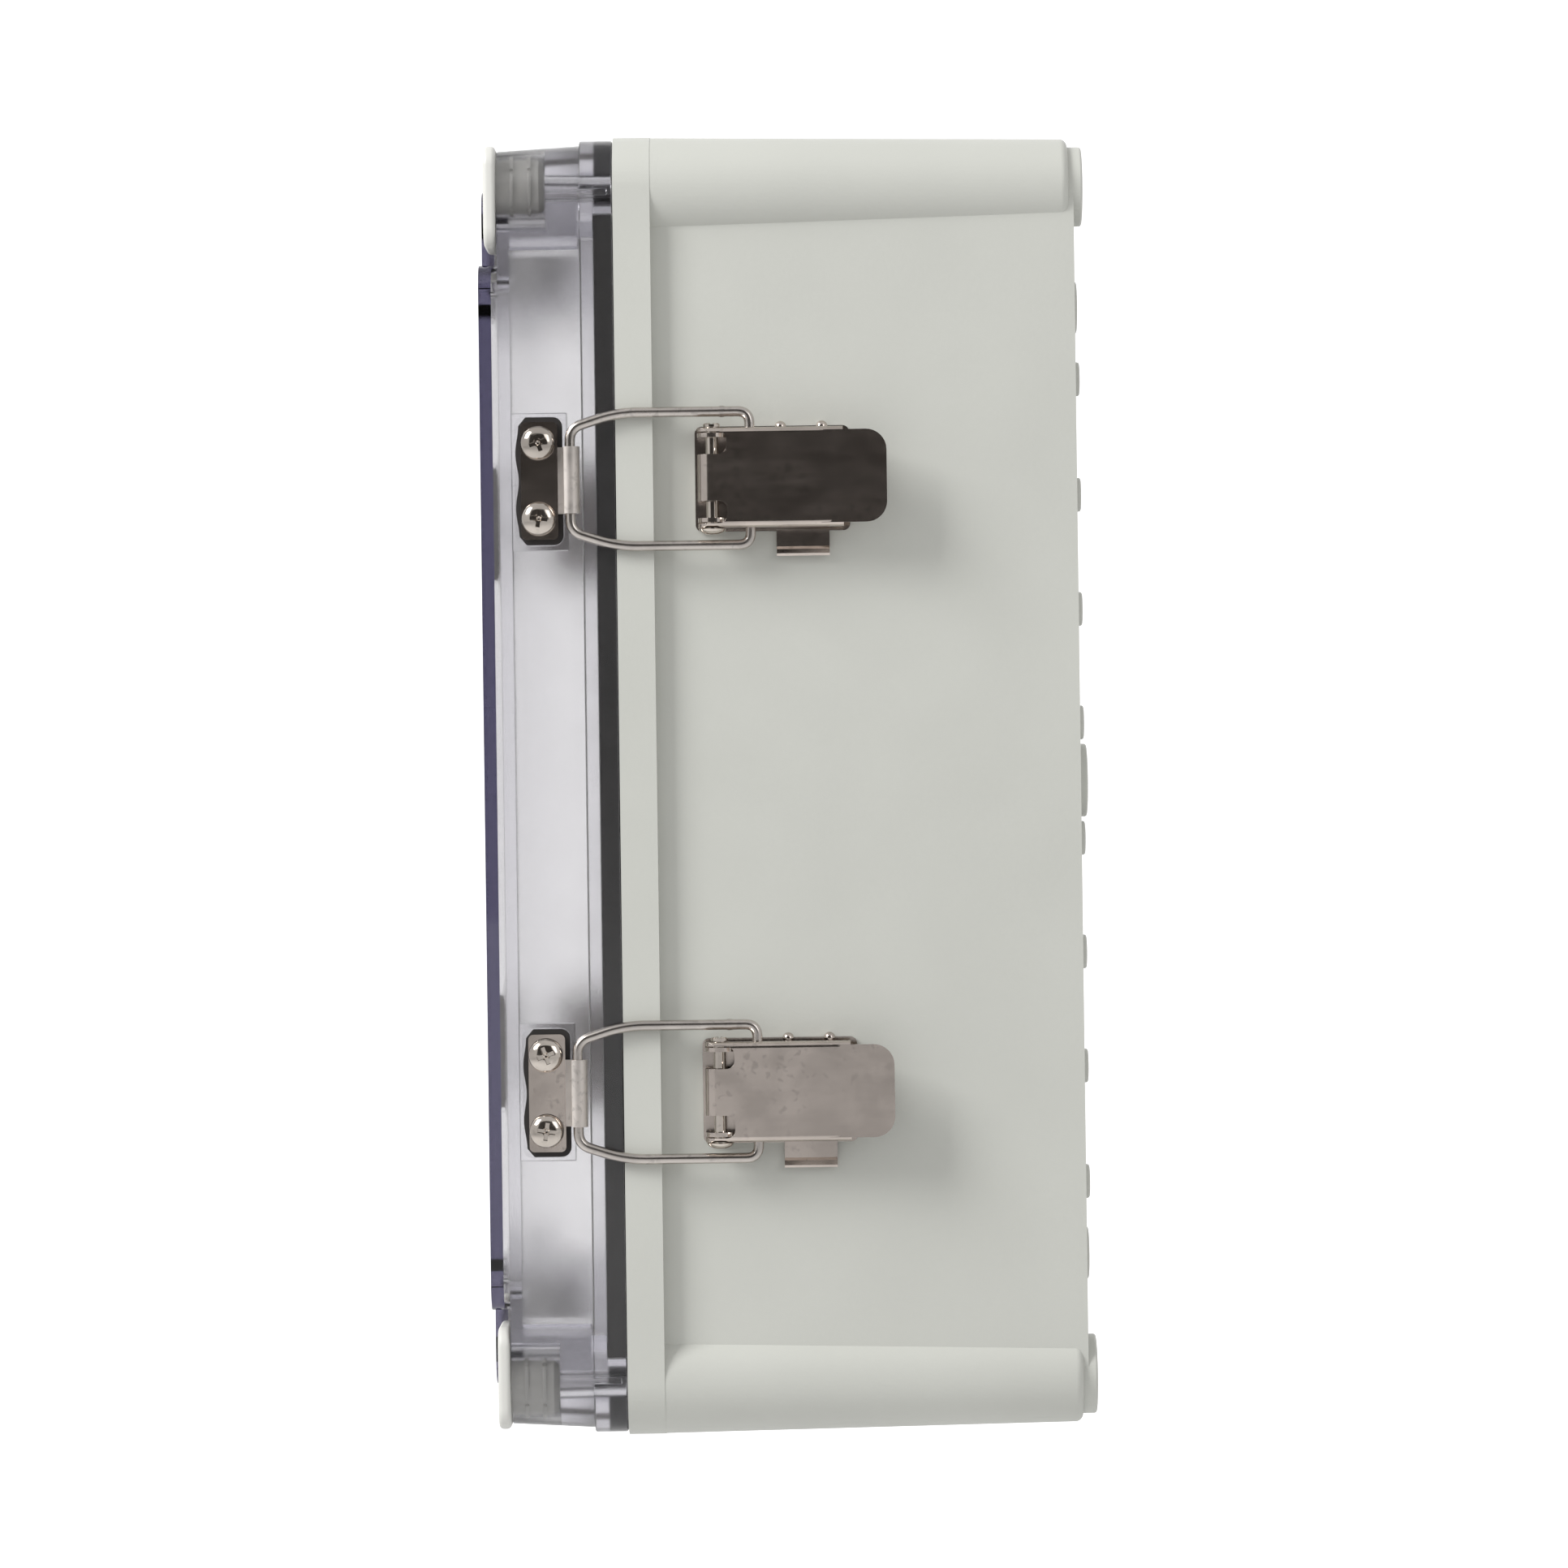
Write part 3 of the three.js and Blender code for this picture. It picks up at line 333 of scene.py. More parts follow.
def clear_plastic():
    """Clear polycarbonate with a faint violet tint that deepens through thickness."""
    made = Nodes("clear_polycarbonate", (0.85, 0.845, 0.85), 0.02)
    made.set(Transmission_Weight=1.0, IOR=1.585, Specular_IOR_Level=0.3)
    # The front is polished; the drafted sides behind it are faintly frosted.
    place_in_lid = made.tree.nodes.new("ShaderNodeSeparateXYZ")
    made.link(made.coords, place_in_lid.inputs["Vector"])
    start, full = FROST_START_Y * MM, (FROST_START_Y + 1) * MM
    frost = made.ramp(place_in_lid.outputs["Y"], 0, CLEAR_FROST, start, full)
    polish = made.ramp(made.noise(90, 3), 0.015, 0.06)
    made.link(made.math("ADD", frost, polish), made.shader.inputs["Roughness"])
    made.bump(made.noise(24, 2), 0.00004, 0.35)
    absorb = made.tree.nodes.new("ShaderNodeVolumeAbsorption")
    absorb.inputs["Color"].default_value = (*VIOLET, 1)
    absorb.inputs["Density"].default_value = VIOLET_DENSITY
    made.link(absorb.outputs["Volume"], made.tree.nodes["Material Output"].inputs["Volume"])
    return made.material


GREY = moulded("grey_abs", (0.53, 0.535, 0.495), 0.5).material
# The plug's colour is painted lighter, standing in for the lamp light that the clear lid keeps from it.
PLUG = moulded("plug_plastic", (0.66, 0.655, 0.62), 0.42).material
CLEAR = clear_plastic()
RUBBER = moulded("black_epdm", (0.018, 0.015, 0.014), 0.6, 0.00008, 500, 0.25).material
STEEL = sheet_metal("rolled_stainless", (0.63, 0.56, 0.51), 0.17, (1, 0.25, 1), 0.03, 0.000004).material
# The keeper's curl: a rougher steel whose colour is painted lighter than the plate's, a painted
# highlight for the light the curl catches.
CURL_PAINTED_LIGHT = sheet_metal("formed_stainless_painted_light", (0.70, 0.65, 0.61), 0.5, (1, 1, 1), 0.08, 0.00001).material
WIRE = sheet_metal("drawn_wire", (0.60, 0.555, 0.52), 0.24, (1, 0.1, 0.1), 0.05, 0.000006).material
SCREW = sheet_metal("nickel_screw", (0.66, 0.60, 0.54), 0.12, (1, 1, 1), 0.03, 0.000003).material
ZINC = sheet_metal("galvanised", (0.62, 0.63, 0.64), 0.38, (0.1, 1, 1), 0.1).material
DEVICE = moulded("device_pa", (0.70, 0.71, 0.68), 0.45).material
DRAWER = moulded("drawer_pa", (0.24, 0.27, 0.29), 0.45).material
BLACK = moulded("black_pa", (0.02, 0.02, 0.022), 0.45, variation=0.2).material
RED = moulded("red_pa", (0.40, 0.035, 0.025), 0.4).material
CERAMIC = moulded("fuse_ceramic", (0.78, 0.77, 0.72), 0.25, 0.00001, 300).material
COPPER = sheet_metal("copper", (0.80, 0.42, 0.26), 0.28, (0.1, 1, 1)).material
BRASS = sheet_metal("brass", (0.76, 0.58, 0.28), 0.28, (0.1, 1, 1)).material


# ------------------------------------------------------------------ base
def at_pillar(sx, sz):
    return (sx * PILLAR_X, 0, sz * PILLAR_Z)


def back_pad(x, z, radius, top):
    profile = [(0, BACK_WALL_Y - 1), (radius, BACK_WALL_Y - 1), (radius, top - 0.6)]
    profile += [(radius - 0.18, top - 0.18), (radius - 0.6, top), (0, top)]
    return lathe("y", profile, (x, 0, z), 40)


def make_base():
    wall_x, wall_z = WIDTH - 2 * RIM_STEP, HEIGHT - 2 * RIM_STEP
    rim = prism("y", rounded(WIDTH, HEIGHT, CORNER_R, steps=16), PARTING_Y, RIM_BACK_Y)
    walls = prism("y", rounded(wall_x, wall_z, CORNER_R - RIM_STEP), PARTING_Y + 1, BACK_WALL_Y)
    end = arc(PILLAR_BACK_R - 2.2, -6.3, 2.2, 0, 90, 6)
    foot = [(11.6, -4.1), (11.6, -0.8)] + arc(10.8, -0.8, 0.8, 15, 90, 4) + [(0, 0)]
    profile = [(0, PARTING_Y + 2), (CORNER_R, PARTING_Y + 2)] + end + foot
    pillars = [lathe("y", profile, at_pillar(*c), 96) for c in CORNERS]
    inner = rounded(wall_x - 2 * WALL, wall_z - 2 * WALL, CORNER_R - RIM_STEP - WALL)
    hollow = prism("y", inner, PARTING_Y - 1, BACK_WALL_Y - WALL)
    cut(hollow, *[rod("y", CORNER_R, PARTING_Y - 2, 2, at_pillar(*c), 96) for c in CORNERS])
    base = union(rim, walls, *pillars)
    cut(base, hollow)
    posts = [rod("y", 6, PLATE_Y + GAP, BACK_WALL_Y - 1, (sx * STANDOFF[0], 0, sz * STANDOFF[1]))
             for sx, sz in CORNERS]
    pads = [back_pad(x, 0, 10.75, 0) for x in (0, 112, -112)]
    pads += [back_pad(x, s * z, 5, -0.9)
             for x in (118, -118) for z in (17, 50.4, 84, 118) for s in (1, -1)]
    pads += [back_pad(sx * 106, sz * 140, 7.75, -0.9) for sx, sz in CORNERS]
    union(base, *posts, *pads)
    bores = [rod("y", SCREW_BORE_R, PARTING_Y - 1, 1, at_pillar(*c), 32) for c in CORNERS]
    cut(base, *bores)
    soften(base, 0.45, 3)
    finish_piece(base, "base_moulding", "base", GREY, "grey_plastic", "enclosure_base")


# ------------------------------------------------------------------ lid
def seal_area(grow, low, high):
    """Everything inside the seal line, which steps inside each corner screw."""
    radius = SEAL_CORNER_R - grow
    size = (2 * (SEAL_HALF_X + grow), 2 * (SEAL_HALF_Z + grow))
    area = prism("y", rounded(*size, 3, steps=6), low, high)
    far = 60
    cuts = []
    for sx, sz in CORNERS:
        across_z = sz * (PILLAR_Z - radius + far / 2)
        along_x = sx * (PILLAR_X - radius + far / 2)
        across = rounded(far, far, 1.5, sx * (PILLAR_X + far / 2), across_z, 3)
        along = rounded(far, far, 1.5, along_x, sz * (PILLAR_Z + far / 2), 3)
        cuts += [prism("y", across, low - 1, high + 1), prism("y", along, low - 1.3, high + 1.3)]
        cuts.append(rod("y", radius, low - 1.6, high + 1.6, at_pillar(sx, sz)))
    return cut(area, *cuts)


def panel(inset, low, high):
    parts = []
    for shift, (x, z) in enumerate((PANEL_SIDE, PANEL_END)):
        outline = rounded(2 * (x - inset), 2 * (z - inset), 8 - inset / 2)
        parts.append(prism("y", outline, low, high + 0.4 * shift))
    return union(*parts)


def make_lid():
    outer = rounded(2 * LID_HALF_X, 2 * LID_HALF_Z, CORNER_R - 0.8, steps=14)
    flange = prism("y", outer, LEDGE_FRONT_Y - 0.4, LID_BACK_Y)
    narrow = (2 * (LID_HALF_X - LID_SET_IN), 2 * (LID_HALF_Z - LID_SET_IN))
    skirt = prism("y", rounded(*narrow, CORNER_R - 1.6, steps=14), SHOULDER_Y, LID_BACK_Y - 1)
    lid = drafted(skirt, LID_BACK_Y, LID_DRAFT)
    raised = soften(panel(0, FRONT_Y, SHOULDER_Y + 3), 4.2, 5, 50)
    # The flange is interrupted beside each corner, where the seal turns inward.
    for sx, sz in CORNERS:
        z0, z1 = sorted((sz * 172, sz * 174))
        x0, x1 = sorted((sx * (LID_HALF_X - LID_SET_IN - 0.4), sx * 145))
        cut(flange, block((x0, x1), (LEDGE_FRONT_Y - 1, LID_BACK_Y - 1.5), (z0, z1)))
    union(lid, soften(flange, 0.5, 2), raised)

    inside = rounded(2 * (LID_HALF_X - LID_WALL), 2 * (LID_HALF_Z - LID_WALL), 10)
    hollow = drafted(prism("y", inside, SHOULDER_Y + 3.5, LEDGE_FRONT_Y), LID_BACK_Y, LID_DRAFT)
    kept = [prism("y", rounded(60, 60, 6, sx * 136.5, sz * 186.5), SHOULDER_Y, PARTING_Y)
            for sx, sz in CORNERS]
    for zc in SIDES.values():
        for x in ((128.5, 145), (-145, -128.5)):
            kept.append(block(x, (POCKET_Y - 8, POCKET_Y + 8), (zc - 20, zc + 20)))
    cut(hollow, *kept)
    mouth = seal_area(-SEAL_WIDTH - GAP - LIP, LEDGE_FRONT_Y - 1, PARTING_Y + 1)
    channel = seal_area(GAP, CHANNEL_FLOOR_Y, PARTING_Y + 1)
    cut(channel, seal_area(-SEAL_WIDTH - GAP, CHANNEL_FLOOR_Y - 1, PARTING_Y + 2))
    cut(lid, hollow, panel(3.6, FRONT_Y + 3.6, SHOULDER_Y + 4), mouth, channel)

    bores = []
    for corner in CORNERS:
        depth = SHOULDER_Y + PLUG_BODY_LENGTH + GAP
        bores.append(rod("y", PLUG_BODY_R + GAP, SHOULDER_Y - 1, depth, at_pillar(*corner)))
        bores.append(rod("y", SCREW_BORE_R, SHOULDER_Y, PARTING_Y, at_pillar(*corner), 32))
    for zc in SIDES.values():
        outline = rounded(POCKET_LENGTH, POCKET_WIDTH, 3, POCKET_Y, zc, 6)
        bores.append(prism("x", outline, POCKET_FLOOR, 141))
        bores += [rod("x", 2.1, 129.7, 140, (0, SCREW_Y, zc + s * SCREW_Z), 24) for s in (1, -1)]
    cut(lid, *bores)
    soften(lid, 0.35, 2, 35)
    finish_piece(lid, "lid_moulding", "lid", CLEAR, "clear_plastic", "lid_shell")


def make_gasket():
    back = PARTING_Y - 0.1
    gasket = seal_area(0, CHANNEL_FLOOR_Y + 0.2, back)
    cut(gasket, seal_area(-SEAL_WIDTH, CHANNEL_FLOOR_Y - 1, back + 1))
    soften(gasket, 0.5, 2)
    finish_piece(gasket, "seal_strip", "lid", RUBBER, "black_rubber", "lid_gasket")


def make_plug(index, sx, sz):
    top = SHOULDER_Y - 0.2
    end = SHOULDER_Y + PLUG_BODY_LENGTH
    head = prism("y", rounded(30, 30, 6, sx * 122.3, sz * 172.3), top - 3.6, top)
    soften(head, 1.3, 4, 50)
    centre = at_pillar(sx, sz)
    radius = PLUG_BODY_R - PLUG_RIB_HEIGHT
    profile = [(0, top - 1), (radius, top - 1), (radius, end - 1.6), (radius - 1.6, end), (0, end)]
    body = lathe("y", profile, centre, 72)
    union(head, body)
    # Six slits split each sealing ring into short ribs.
    slits = []
    for turn in (math.pi / 6, math.pi / 2, 5 * math.pi / 6):
        along, across = (math.cos(turn), math.sin(turn)), (-math.sin(turn), math.cos(turn))
        corners = [tuple(14 * s * a + PLUG_SLIT_HALF * t * c for a, c in zip(along, across))
                   for s, t in ((-1, -1), (1, -1), (1, 1), (-1, 1))]
        slits.append(prism("y", corners, SHOULDER_Y, end))
    ribs = []
    for depth in PLUG_RIB_DEPTHS:
        y = SHOULDER_Y + depth
        section = [(0, y - 0.5), (PLUG_BODY_R - 0.1, y - 0.5), (PLUG_BODY_R, y - 0.25),
                   (PLUG_BODY_R, y + 0.25), (PLUG_BODY_R - 0.1, y + 0.5), (0, y + 0.5)]
        ribs.append(lathe("y", section, centre, 72))
    for slit in slits:
        for vertex in slit.data.vertices:
            vertex.co += Vector(centre) * MM
    for ring in ribs:
        for slit in slits:
            step = ring.modifiers.new("split", "BOOLEAN")
            step.operation, step.solver, step.object = "DIFFERENCE", "EXACT", slit
        bpy.context.view_layer.update()
        applied(ring)
    for slit in slits:
        bpy.data.objects.remove(slit)
    union(head, *ribs)
    soften(head)
    finish_piece(head, f"plug_{index}", "lid", PLUG, "plug_plastic", f"corner_plug_{index}")


# ------------------------------------------------------------------ latches
def pivot_bore(radius, zc):
    return rod("z", radius, zc - 30, zc + 30, (PIVOT_X, PIVOT_Y, 0), 40)


def make_latch_base(side, zc):
    sheet = prism("x", rounded(45, 30.6, 2, -91.5, zc, 5), 135.5, 136.7)
    parts = []
    for z0, z1 in ((11.7, 12.9), (-12.9, -11.7)):
        foot = [(135.9, PIVOT_Y - 4.2), (PIVOT_X, PIVOT_Y - 4.2),
                (PIVOT_X, PIVOT_Y + 4.2), (135.9, PIVOT_Y + 6)]
        parts.append(prism("z", foot, zc + z0, zc + z1))
        parts.append(rod("z", EAR_R, zc + z0 - 0.01, zc + z1 + 0.01, (PIVOT_X, PIVOT_Y, 0)))
    for y in (-89, -77):
        crown = [(r, zc + 15 + h) for r, h in arc(0, 0, 1.7, 0, 90, 8)][:-1]
        dome = [(0, zc + 13.2)] + crown + [(0, zc + 16.7)]
        parts.append(lathe("z", dome, (137, y, 0), 24))
    # Tab below the lever, its end bent outward.
    tab = [(135.5, -14), (136.7, -14), (136.7, -19.8), (137, -20.6), (138.5, -21.9),
           (137.9, -22.6), (136, -21.2), (135.5, -20)]
    parts.append(prism("y", [(x, zc + z) for x, z in tab], -90.5, -75.1))
    plate = union(sheet, *parts)
    cut(plate, pivot_bore(PIVOT_R + 0.06, zc))
    soften(plate, 0.22, 2, 15)
    finish_piece(plate, f"latch_base_{side}", "base", STEEL, "stainless_steel",
                 f"latch_base_plate_{side}")


def make_latch_pin(side, zc):
    inner = LEVER_HALF + GAP
    star = [(2.5, inner), (2.5, inner + 0.7), (2.2, inner + 1.0),
            (1.1, inner + 1.1), (0.8, inner + 0.7), (0, inner + 0.6)]
    dome = [(0, -inner - 1.7), (1.6, -inner - 1.62), (2.8, -inner - 1.3),
            (3.7, -inner - 0.7), (4, -inner - 0.1), (3.9, -inner)]
    pin = lathe("z", dome + [(PIVOT_R, -inner), (PIVOT_R, inner)] + star, (PIVOT_X, PIVOT_Y, zc), 40)
    slot_z = (zc + inner + 0.7, zc + inner + 3)
    cut(pin, block((PIVOT_X - 3, PIVOT_X + 3), (PIVOT_Y - 0.35, PIVOT_Y + 0.35), slot_z))
    soften(pin)
    finish_piece(pin, f"latch_rivet_{side}", "base", SCREW, "stainless_steel", f"latch_pivot_{side}")


def make_lever(side, zc):
    """Pressed channel: rounded nose with a wrapped tongue, two side flanges, flat finger tab."""
    nose = PIVOT_Y - EAR_R
    lever = prism("y", rounded(40, 2 * LEVER_HALF, 1.8, LEVER_TOP - 20, zc, 6), nose, FLANGE_END)
    half_inside = LEVER_HALF - LEVER_SHEET
    channel = rounded(40, 2 * half_inside, 0.7, LEVER_TOP - LEVER_SHEET - 20, zc, 4)
    cuts = [prism("y", channel, PIVOT_Y, FLANGE_END + 1)]
    cuts.append(rod("z", LEVER_TOP - PIVOT_X - LEVER_SHEET, zc - half_inside, zc + half_inside,
                    (PIVOT_X, PIVOT_Y, 0)))
    cuts.append(block((100, PIVOT_X - EAR_R), (nose - 1, FLANGE_END + 1), (zc - 20, zc + 20)))
    corner = block((100, LEVER_TOP + 1), (nose - 2, PIVOT_Y), (zc - 21, zc + 21))
    cut(corner, rod("z", LEVER_TOP - PIVOT_X, zc - 23, zc + 23, (PIVOT_X, PIVOT_Y, 0), 64))
    cuts.append(corner)
    for s in (1, -1):
        low, high = sorted((zc + s * 6.75, zc + s * (half_inside + 0.02)))
        notch = rounded(17, high - low, 2.4, nose, (low + high) / 2, 6)
        cuts.append(prism("x", notch, LEVER_TOP - 3.2, LEVER_TOP + 1))
        cuts.append(block((LEVER_TOP - 30, LEVER_TOP - 3.1), (nose - 1, nose + 8.5), (low, high)))
    slant = [(PIVOT_X - EAR_R - 1, -92), (PIVOT_X - EAR_R - 1, FLANGE_END + 1),
             (LEVER_TOP - 3.4, FLANGE_END + 1)]
    cuts.append(prism("z", slant, zc - 22, zc + 22))
    cut(lever, *cuts)
    tab = prism("x", rounded(80, 26.9, 6, LEVER_END - 40, zc, 8), LEVER_TOP - 6, LEVER_TOP + 6)
    rise = 1.2
    fold = -73.5
    under = LEVER_TOP - LEVER_SHEET + 0.05
    section = [(LEVER_TOP - 0.1, fold - 4), (LEVER_TOP - 0.03, fold - 1), (LEVER_TOP + 0.1, fold),
               (LEVER_TOP + 0.2, fold + 1), (LEVER_TOP + rise, LEVER_END + 1),
               (LEVER_TOP + rise - LEVER_SHEET, LEVER_END + 1), (under, fold), (under, fold - 4)]
    bent = prism("z", section, zc - 20, zc + 20)
    combine(tab, [bent], "INTERSECT")
    union(lever, tab)
    wire_seat = rod("z", WIRE_R + 0.15, zc - 30, zc + 30, (CROSSBAR_X, CROSSBAR_Y, 0), 32)
    cut(lever, pivot_bore(PIVOT_R + 0.06, zc), wire_seat)
    soften(lever, 0.22, 2)
    finish_piece(lever, f"lever_{side}", f"lever_{side}", STEEL, "stainless_steel",
                 f"latch_lever_{side}")


def bail_path(zc):
    """Centre line of the wire ring, with rounded corners, as (y, z) points."""
    half = [(HOOK_Y, 15), (-136.5, 19.4), (CROSSBAR_Y, 19.4)]
    corners = half + [(y, -z) for y, z in reversed(half)]
    points = []
    for i, (y, z) in enumerate(corners):
        here = Vector((y, z))
        before = (Vector(corners[i - 1]) - here).normalized()
        after = (Vector(corners[(i + 1) % len(corners)]) - here).normalized()
        reach = 6.0 if abs(y + 136.5) < 1 else 3.6
        for k in range(11):
            t = k / 10
            point = here + before * reach * (1 - t) ** 2 + after * reach * t ** 2
            points.append((point.x, point.y + zc))
    return points


def make_bail(side, zc):
    path = bail_path(zc)
    count, sides = len(path), 20
    vertices = []
    for i, (y, z) in enumerate(path):
        ahead, behind = path[(i + 1) % count], path[i - 1]
        along = Vector((ahead[0] - behind[0], ahead[1] - behind[1])).normalized()
        across = (-along.y, along.x)
        for k in range(sides):
            turn = 2 * math.pi * k / sides
            out, up = WIRE_R * math.cos(turn), WIRE_R * math.sin(turn)
            vertices.append((CROSSBAR_X + up, y + across[0] * out, z + across[1] * out))
    faces = []
    for i in range(count):
        for k in range(sides):
            a, b = i * sides, ((i + 1) % count) * sides
            faces.append((a + k, a + (k + 1) % sides, b + (k + 1) % sides, b + k))
    wire = new_object("wire", vertices, faces)
    # Butt weld that closes the ring, on the upper leg.
    weld = lathe("y", [(0, -1.0), (1.5, -1.0), (1.66, -0.4), (1.66, 0.4), (1.5, 1.0), (0, 1.0)],
                 (CROSSBAR_X, CROSSBAR_Y - 8, zc + 19.4), 20)
    union(wire, weld)
    soften(wire, 0, angle=40)
    finish_piece(wire, f"wire_bail_{side}", f"bail_{side}", WIRE, "stainless_steel",
                 f"latch_bail_{side}")


def make_keeper(side, zc):
    middle = (KEEPER_FRONT + KEEPER_BACK) / 2
    top = KEEPER_X + KEEPER_SHEET
    plate = prism("x", rounded(KEEPER_BACK - KEEPER_FRONT, 34.2, 1.5, middle, zc, 5), KEEPER_X, top)
    tab = block((KEEPER_X + 0.01, top - 0.01), (KEEPER_BACK - 3, HOOK_Y), (zc - 9.7, zc + 9.7))
    outer = 1.8 + KEEPER_SHEET
    hook_section = arc(CROSSBAR_X, HOOK_Y, outer, 180, -40, 28)
    hook_section += arc(CROSSBAR_X, HOOK_Y, 1.8, -40, 180, 28)
    hook = prism("z", hook_section, zc - 9.71, zc + 9.71)
    keeper = union(plate, tab, hook)
    cut(keeper, *[rod("x", 2.3, 138, 142, (0, SCREW_Y, zc + s * SCREW_Z), 32) for s in (1, -1)])
    soften(keeper, 0.2, 2)
    finish_piece(keeper, f"keeper_plate_{side}", "lid", STEEL, "stainless_steel", f"keeper_{side}")
    # The curl's faces take the rougher steel with the painted lighter colour.
    keeper.data.materials.append(CURL_PAINTED_LIGHT)
    for polygon in keeper.data.polygons:
        if polygon.center.y > (KEEPER_BACK + 1) * MM:
            polygon.material_index = 1


def make_keeper_pad(side, zc):
    """Rubber pad cut by hand: its front edge bulges in two waves."""
    half_w, half_l = POCKET_WIDTH / 2 - GAP, POCKET_LENGTH / 2 - GAP
    wave = []
    for i in range(33):
        t = i / 32
        z = -half_w + 2.5 + t * (2 * half_w - 5)
        wave.append((POCKET_Y - half_l + 0.9 * (0.5 + 0.5 * math.cos(4 * math.pi * t)), zc + z))
    back = arc(POCKET_Y + half_l - 2.7, zc + half_w - 2.7, 2.7, 90, 0, 5)
    back += arc(POCKET_Y + half_l - 2.7, zc - half_w + 2.7, 2.7, 0, -90, 5)
    edge_y = POCKET_Y - half_l + 3
    outline = wave + [(edge_y, zc + half_w)] + back + [(edge_y, zc - half_w)]
    pad = prism("x", outline, POCKET_FLOOR + GAP, KEEPER_X - 0.25)
    cut(pad, *[rod("x", 2.3, 130, 145, (0, SCREW_Y, zc + s * SCREW_Z), 32) for s in (1, -1)])
    soften(pad, 0.3, 2)
    finish_piece(pad, f"pad_{side}", "lid", RUBBER, "black_rubber", f"keeper_pad_{side}")


def make_keeper_screw(side, number, zc, turn):
    x = KEEPER_X + KEEPER_SHEET + GAP
    head = [(4.85, x)] + [(5 * math.cos(a), x + 0.55 + 2.6 * math.sin(a)) for a in
                          (math.radians(d) for d in range(0, 90, 9))] + [(0, x + 3.15)]
    shank = [(0, 130), (0.9, 130), (1.7, 131.2), (1.7, x)]
    centre = (0, SCREW_Y, zc + (SCREW_Z if number == 1 else -SCREW_Z))
    screw = lathe("x", shank + head, centre, 64)
    wings = []
    for k in (0, 1):
        angle = math.radians(turn + 90 * k)
        wing = [(-2.6, -0.62), (2.6, -0.62), (2.6, 0.62), (-2.6, 0.62)]
        spun = [(u * math.cos(angle) - v * math.sin(angle) + centre[1],
                 u * math.sin(angle) + v * math.cos(angle) + centre[2]) for u, v in wing]
        wings.append(prism("x", spun, x + 0.9 + 0.05 * k, x + 5))
    cut(screw, *wings)
    cut(screw, lathe("x", [(0, x + 0.3), (0.7, x + 0.7), (1.5, x + 4), (0, x + 4)], centre, 24))
    soften(screw, 0.09, 2, 40)
    finish_piece(screw, f"pan_screw_{side}_{number}", "lid", SCREW, "screw_steel",
                 f"keeper_screw_{side}_{number}")


# ------------------------------------------------------------------ carried-over CAD nodes
CAD_FINISH = {
    "hinge_base_leaf_": STEEL, "hinge_lid_leaf_": STEEL, "hinge_pin_": SCREW,
    "mounting_plate": ZINC, "plate_screw_": SCREW, "din_rail_": ZINC,
    "fuse_holder_": DEVICE, "fuse_drawer_": DRAWER, "fuse_link_": CERAMIC,
    "breaker_body": DEVICE, "breaker_toggle": BLACK, "surge_base": DEVICE,
    "surge_cartridge_": RED, "positive_comb": COPPER, "negative_bar_base": BLACK,
    "negative_bar": BRASS, "earth_bar": BRASS, "positive_cable": RED, "negative_cable": BLACK,
}


def finish_cad_nodes():
    """Inner parts and hinges keep their faceted CAD shape and sharp edges; only materials change."""
    for name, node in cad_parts.items():
        if node.hide_render:
            continue
        prefix = max((p for p in CAD_FINISH if name.startswith(p)), key=len)
        node.data.materials.clear()
        node.data.materials.append(CAD_FINISH[prefix])
        for polygon in node.data.polygons:
            polygon.use_smooth = True
        node.data.set_sharp_from_angle(angle=math.radians(35))


# ------------------------------------------------------------------ camera, backdrop and light
def make_camera():
    data = bpy.data.cameras.new("camera")
    data.lens = 134.3
    data.sensor_width = 36
    data.clip_start = 0.05
    data.clip_end = 50
    camera = bpy.data.objects.new("camera", data)
    bpy.context.scene.collection.objects.link(camera)
    camera.location = (1.84, -0.0893, 0.0)
    level = Euler((math.radians(90), 0, math.radians(90))).to_matrix()
    roll = Euler((0, 0, math.radians(-0.75))).to_matrix()
    camera.rotation_euler = (level @ roll).to_euler()
    bpy.context.scene.camera = camera


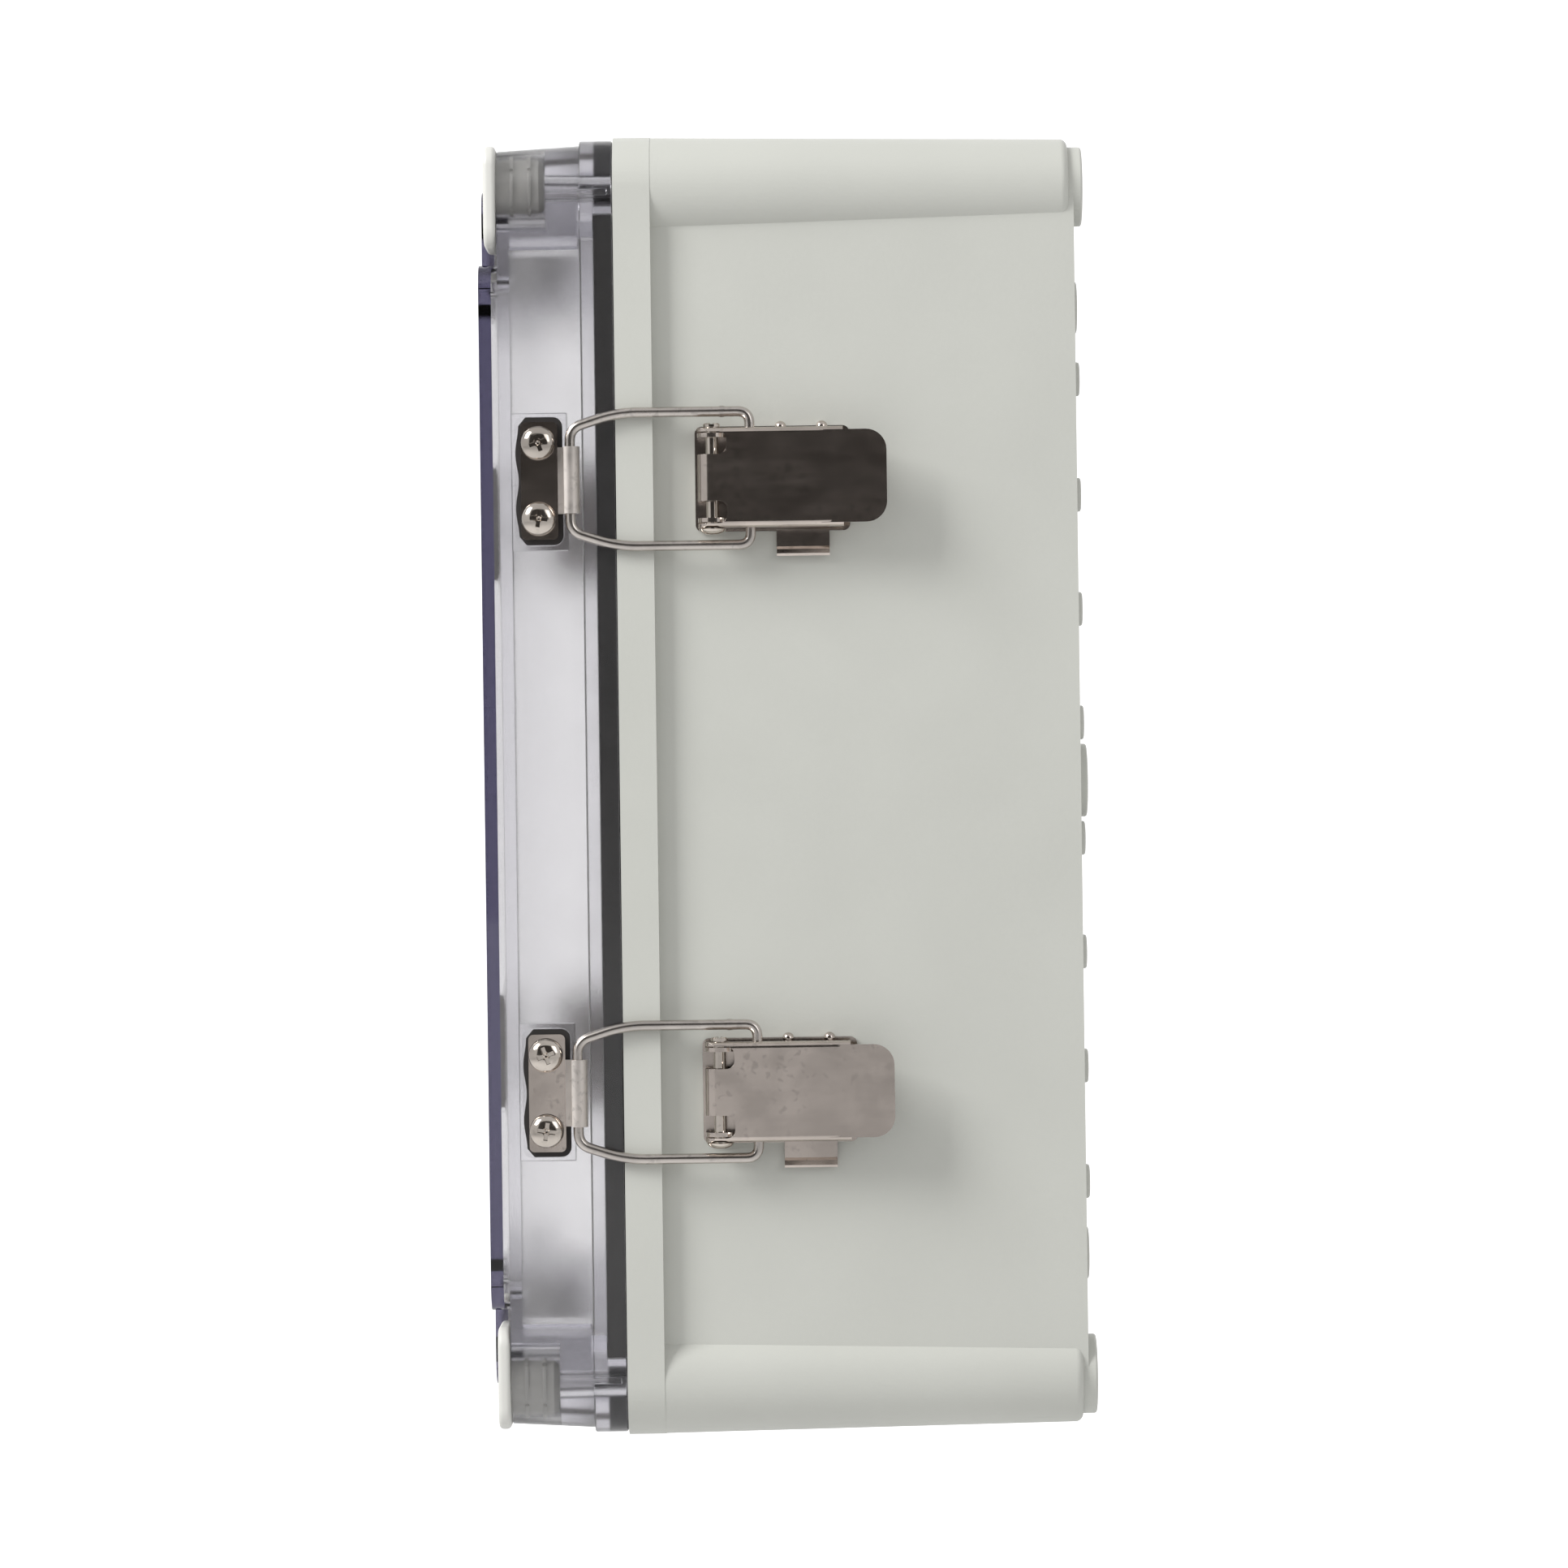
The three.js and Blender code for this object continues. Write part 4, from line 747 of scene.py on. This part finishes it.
def make_backdrop():
    """Pale floor that curves up into a wall behind the object."""
    floor_z, wall_x, bend = -1.0, -3.6, 0.9
    glow_start_z, glow_full_z = -0.98, -0.76
    section = [(6, floor_z)]
    for i in range(25):
        turn = math.pi / 2 * i / 24
        section.append((wall_x + bend - bend * math.sin(turn), floor_z + bend - bend * math.cos(turn)))
    section.append((wall_x, 5))
    vertices = [(x / MM, y / MM, z / MM) for x, z in section for y in (-6, 6)]
    faces = [(2 * i, 2 * i + 1, 2 * i + 3, 2 * i + 2) for i in range(len(section) - 1)]
    backdrop = new_object("backdrop", vertices, faces)
    for polygon in backdrop.data.polygons:
        polygon.use_smooth = True
    paint = Nodes("studio_paper", (0.8, 0.8, 0.8), 0.9)
    paint.shader.inputs["Emission Color"].default_value = (1, 1, 1, 1)
    split = paint.tree.nodes.new("ShaderNodeSeparateXYZ")
    paint.link(paint.coords, split.inputs["Vector"])
    glow = paint.ramp(split.outputs["Z"], 0.0, 0.62, glow_start_z, glow_full_z)
    paint.link(glow, paint.shader.inputs["Emission Strength"])
    backdrop.data.materials.append(paint.material)


def area_light(name, location, target, size, power, color=(1, 1, 1)):
    data = bpy.data.lights.new(name, "AREA")
    data.shape = "RECTANGLE"
    data.size, data.size_y = size
    data.energy = power
    data.color = color
    light = bpy.data.objects.new(name, data)
    light.location = location
    light.rotation_euler = (Vector(target) - Vector(location)).to_track_quat("-Z", "Y").to_euler()
    bpy.context.scene.collection.objects.link(light)


def make_flag():
    """Dark card over the camera: what polished steel that tips upward reflects."""
    card = prism("x", [(-1500, -80), (1300, -80), (1300, 1600), (-1500, 1600)], 1950, 1960, "flag")
    shade = Nodes("black_card", (0.02, 0.017, 0.015), 0.9)
    card.data.materials.append(shade.material)
    card.visible_camera = False
    card.visible_diffuse = False
    card.visible_shadow = False
    card.visible_transmission = False


def make_lights():
    world = bpy.data.worlds.new("studio")
    world.use_nodes = True
    world.node_tree.nodes["Background"].inputs["Color"].default_value = (1, 1, 1, 1)
    world.node_tree.nodes["Background"].inputs["Strength"].default_value = 0.62
    bpy.context.scene.world = world
    bpy.context.scene.view_settings.view_transform = "Standard"
    target = (0, -0.09, 0)
    area_light("key", (1.0, -1.6, 1.3), target, (0.8, 1.0), 42)
    area_light("fill", (1.7, 1.2, 0.9), target, (0.9, 1.2), 6)


make_camera()
make_backdrop()
make_base()
make_lid()
make_gasket()
for number, (sx, sz) in enumerate(CORNERS, 1):
    make_plug(number, sx, sz)
for side, centre_z in SIDES.items():
    make_latch_base(side, centre_z)
    make_latch_pin(side, centre_z)
    make_lever(side, centre_z)
    make_bail(side, centre_z)
    make_keeper(side, centre_z)
    make_keeper_pad(side, centre_z)
    make_keeper_screw(side, 1, centre_z, 20)
    make_keeper_screw(side, 2, centre_z, -8)
finish_cad_nodes()
make_flag()
make_lights()
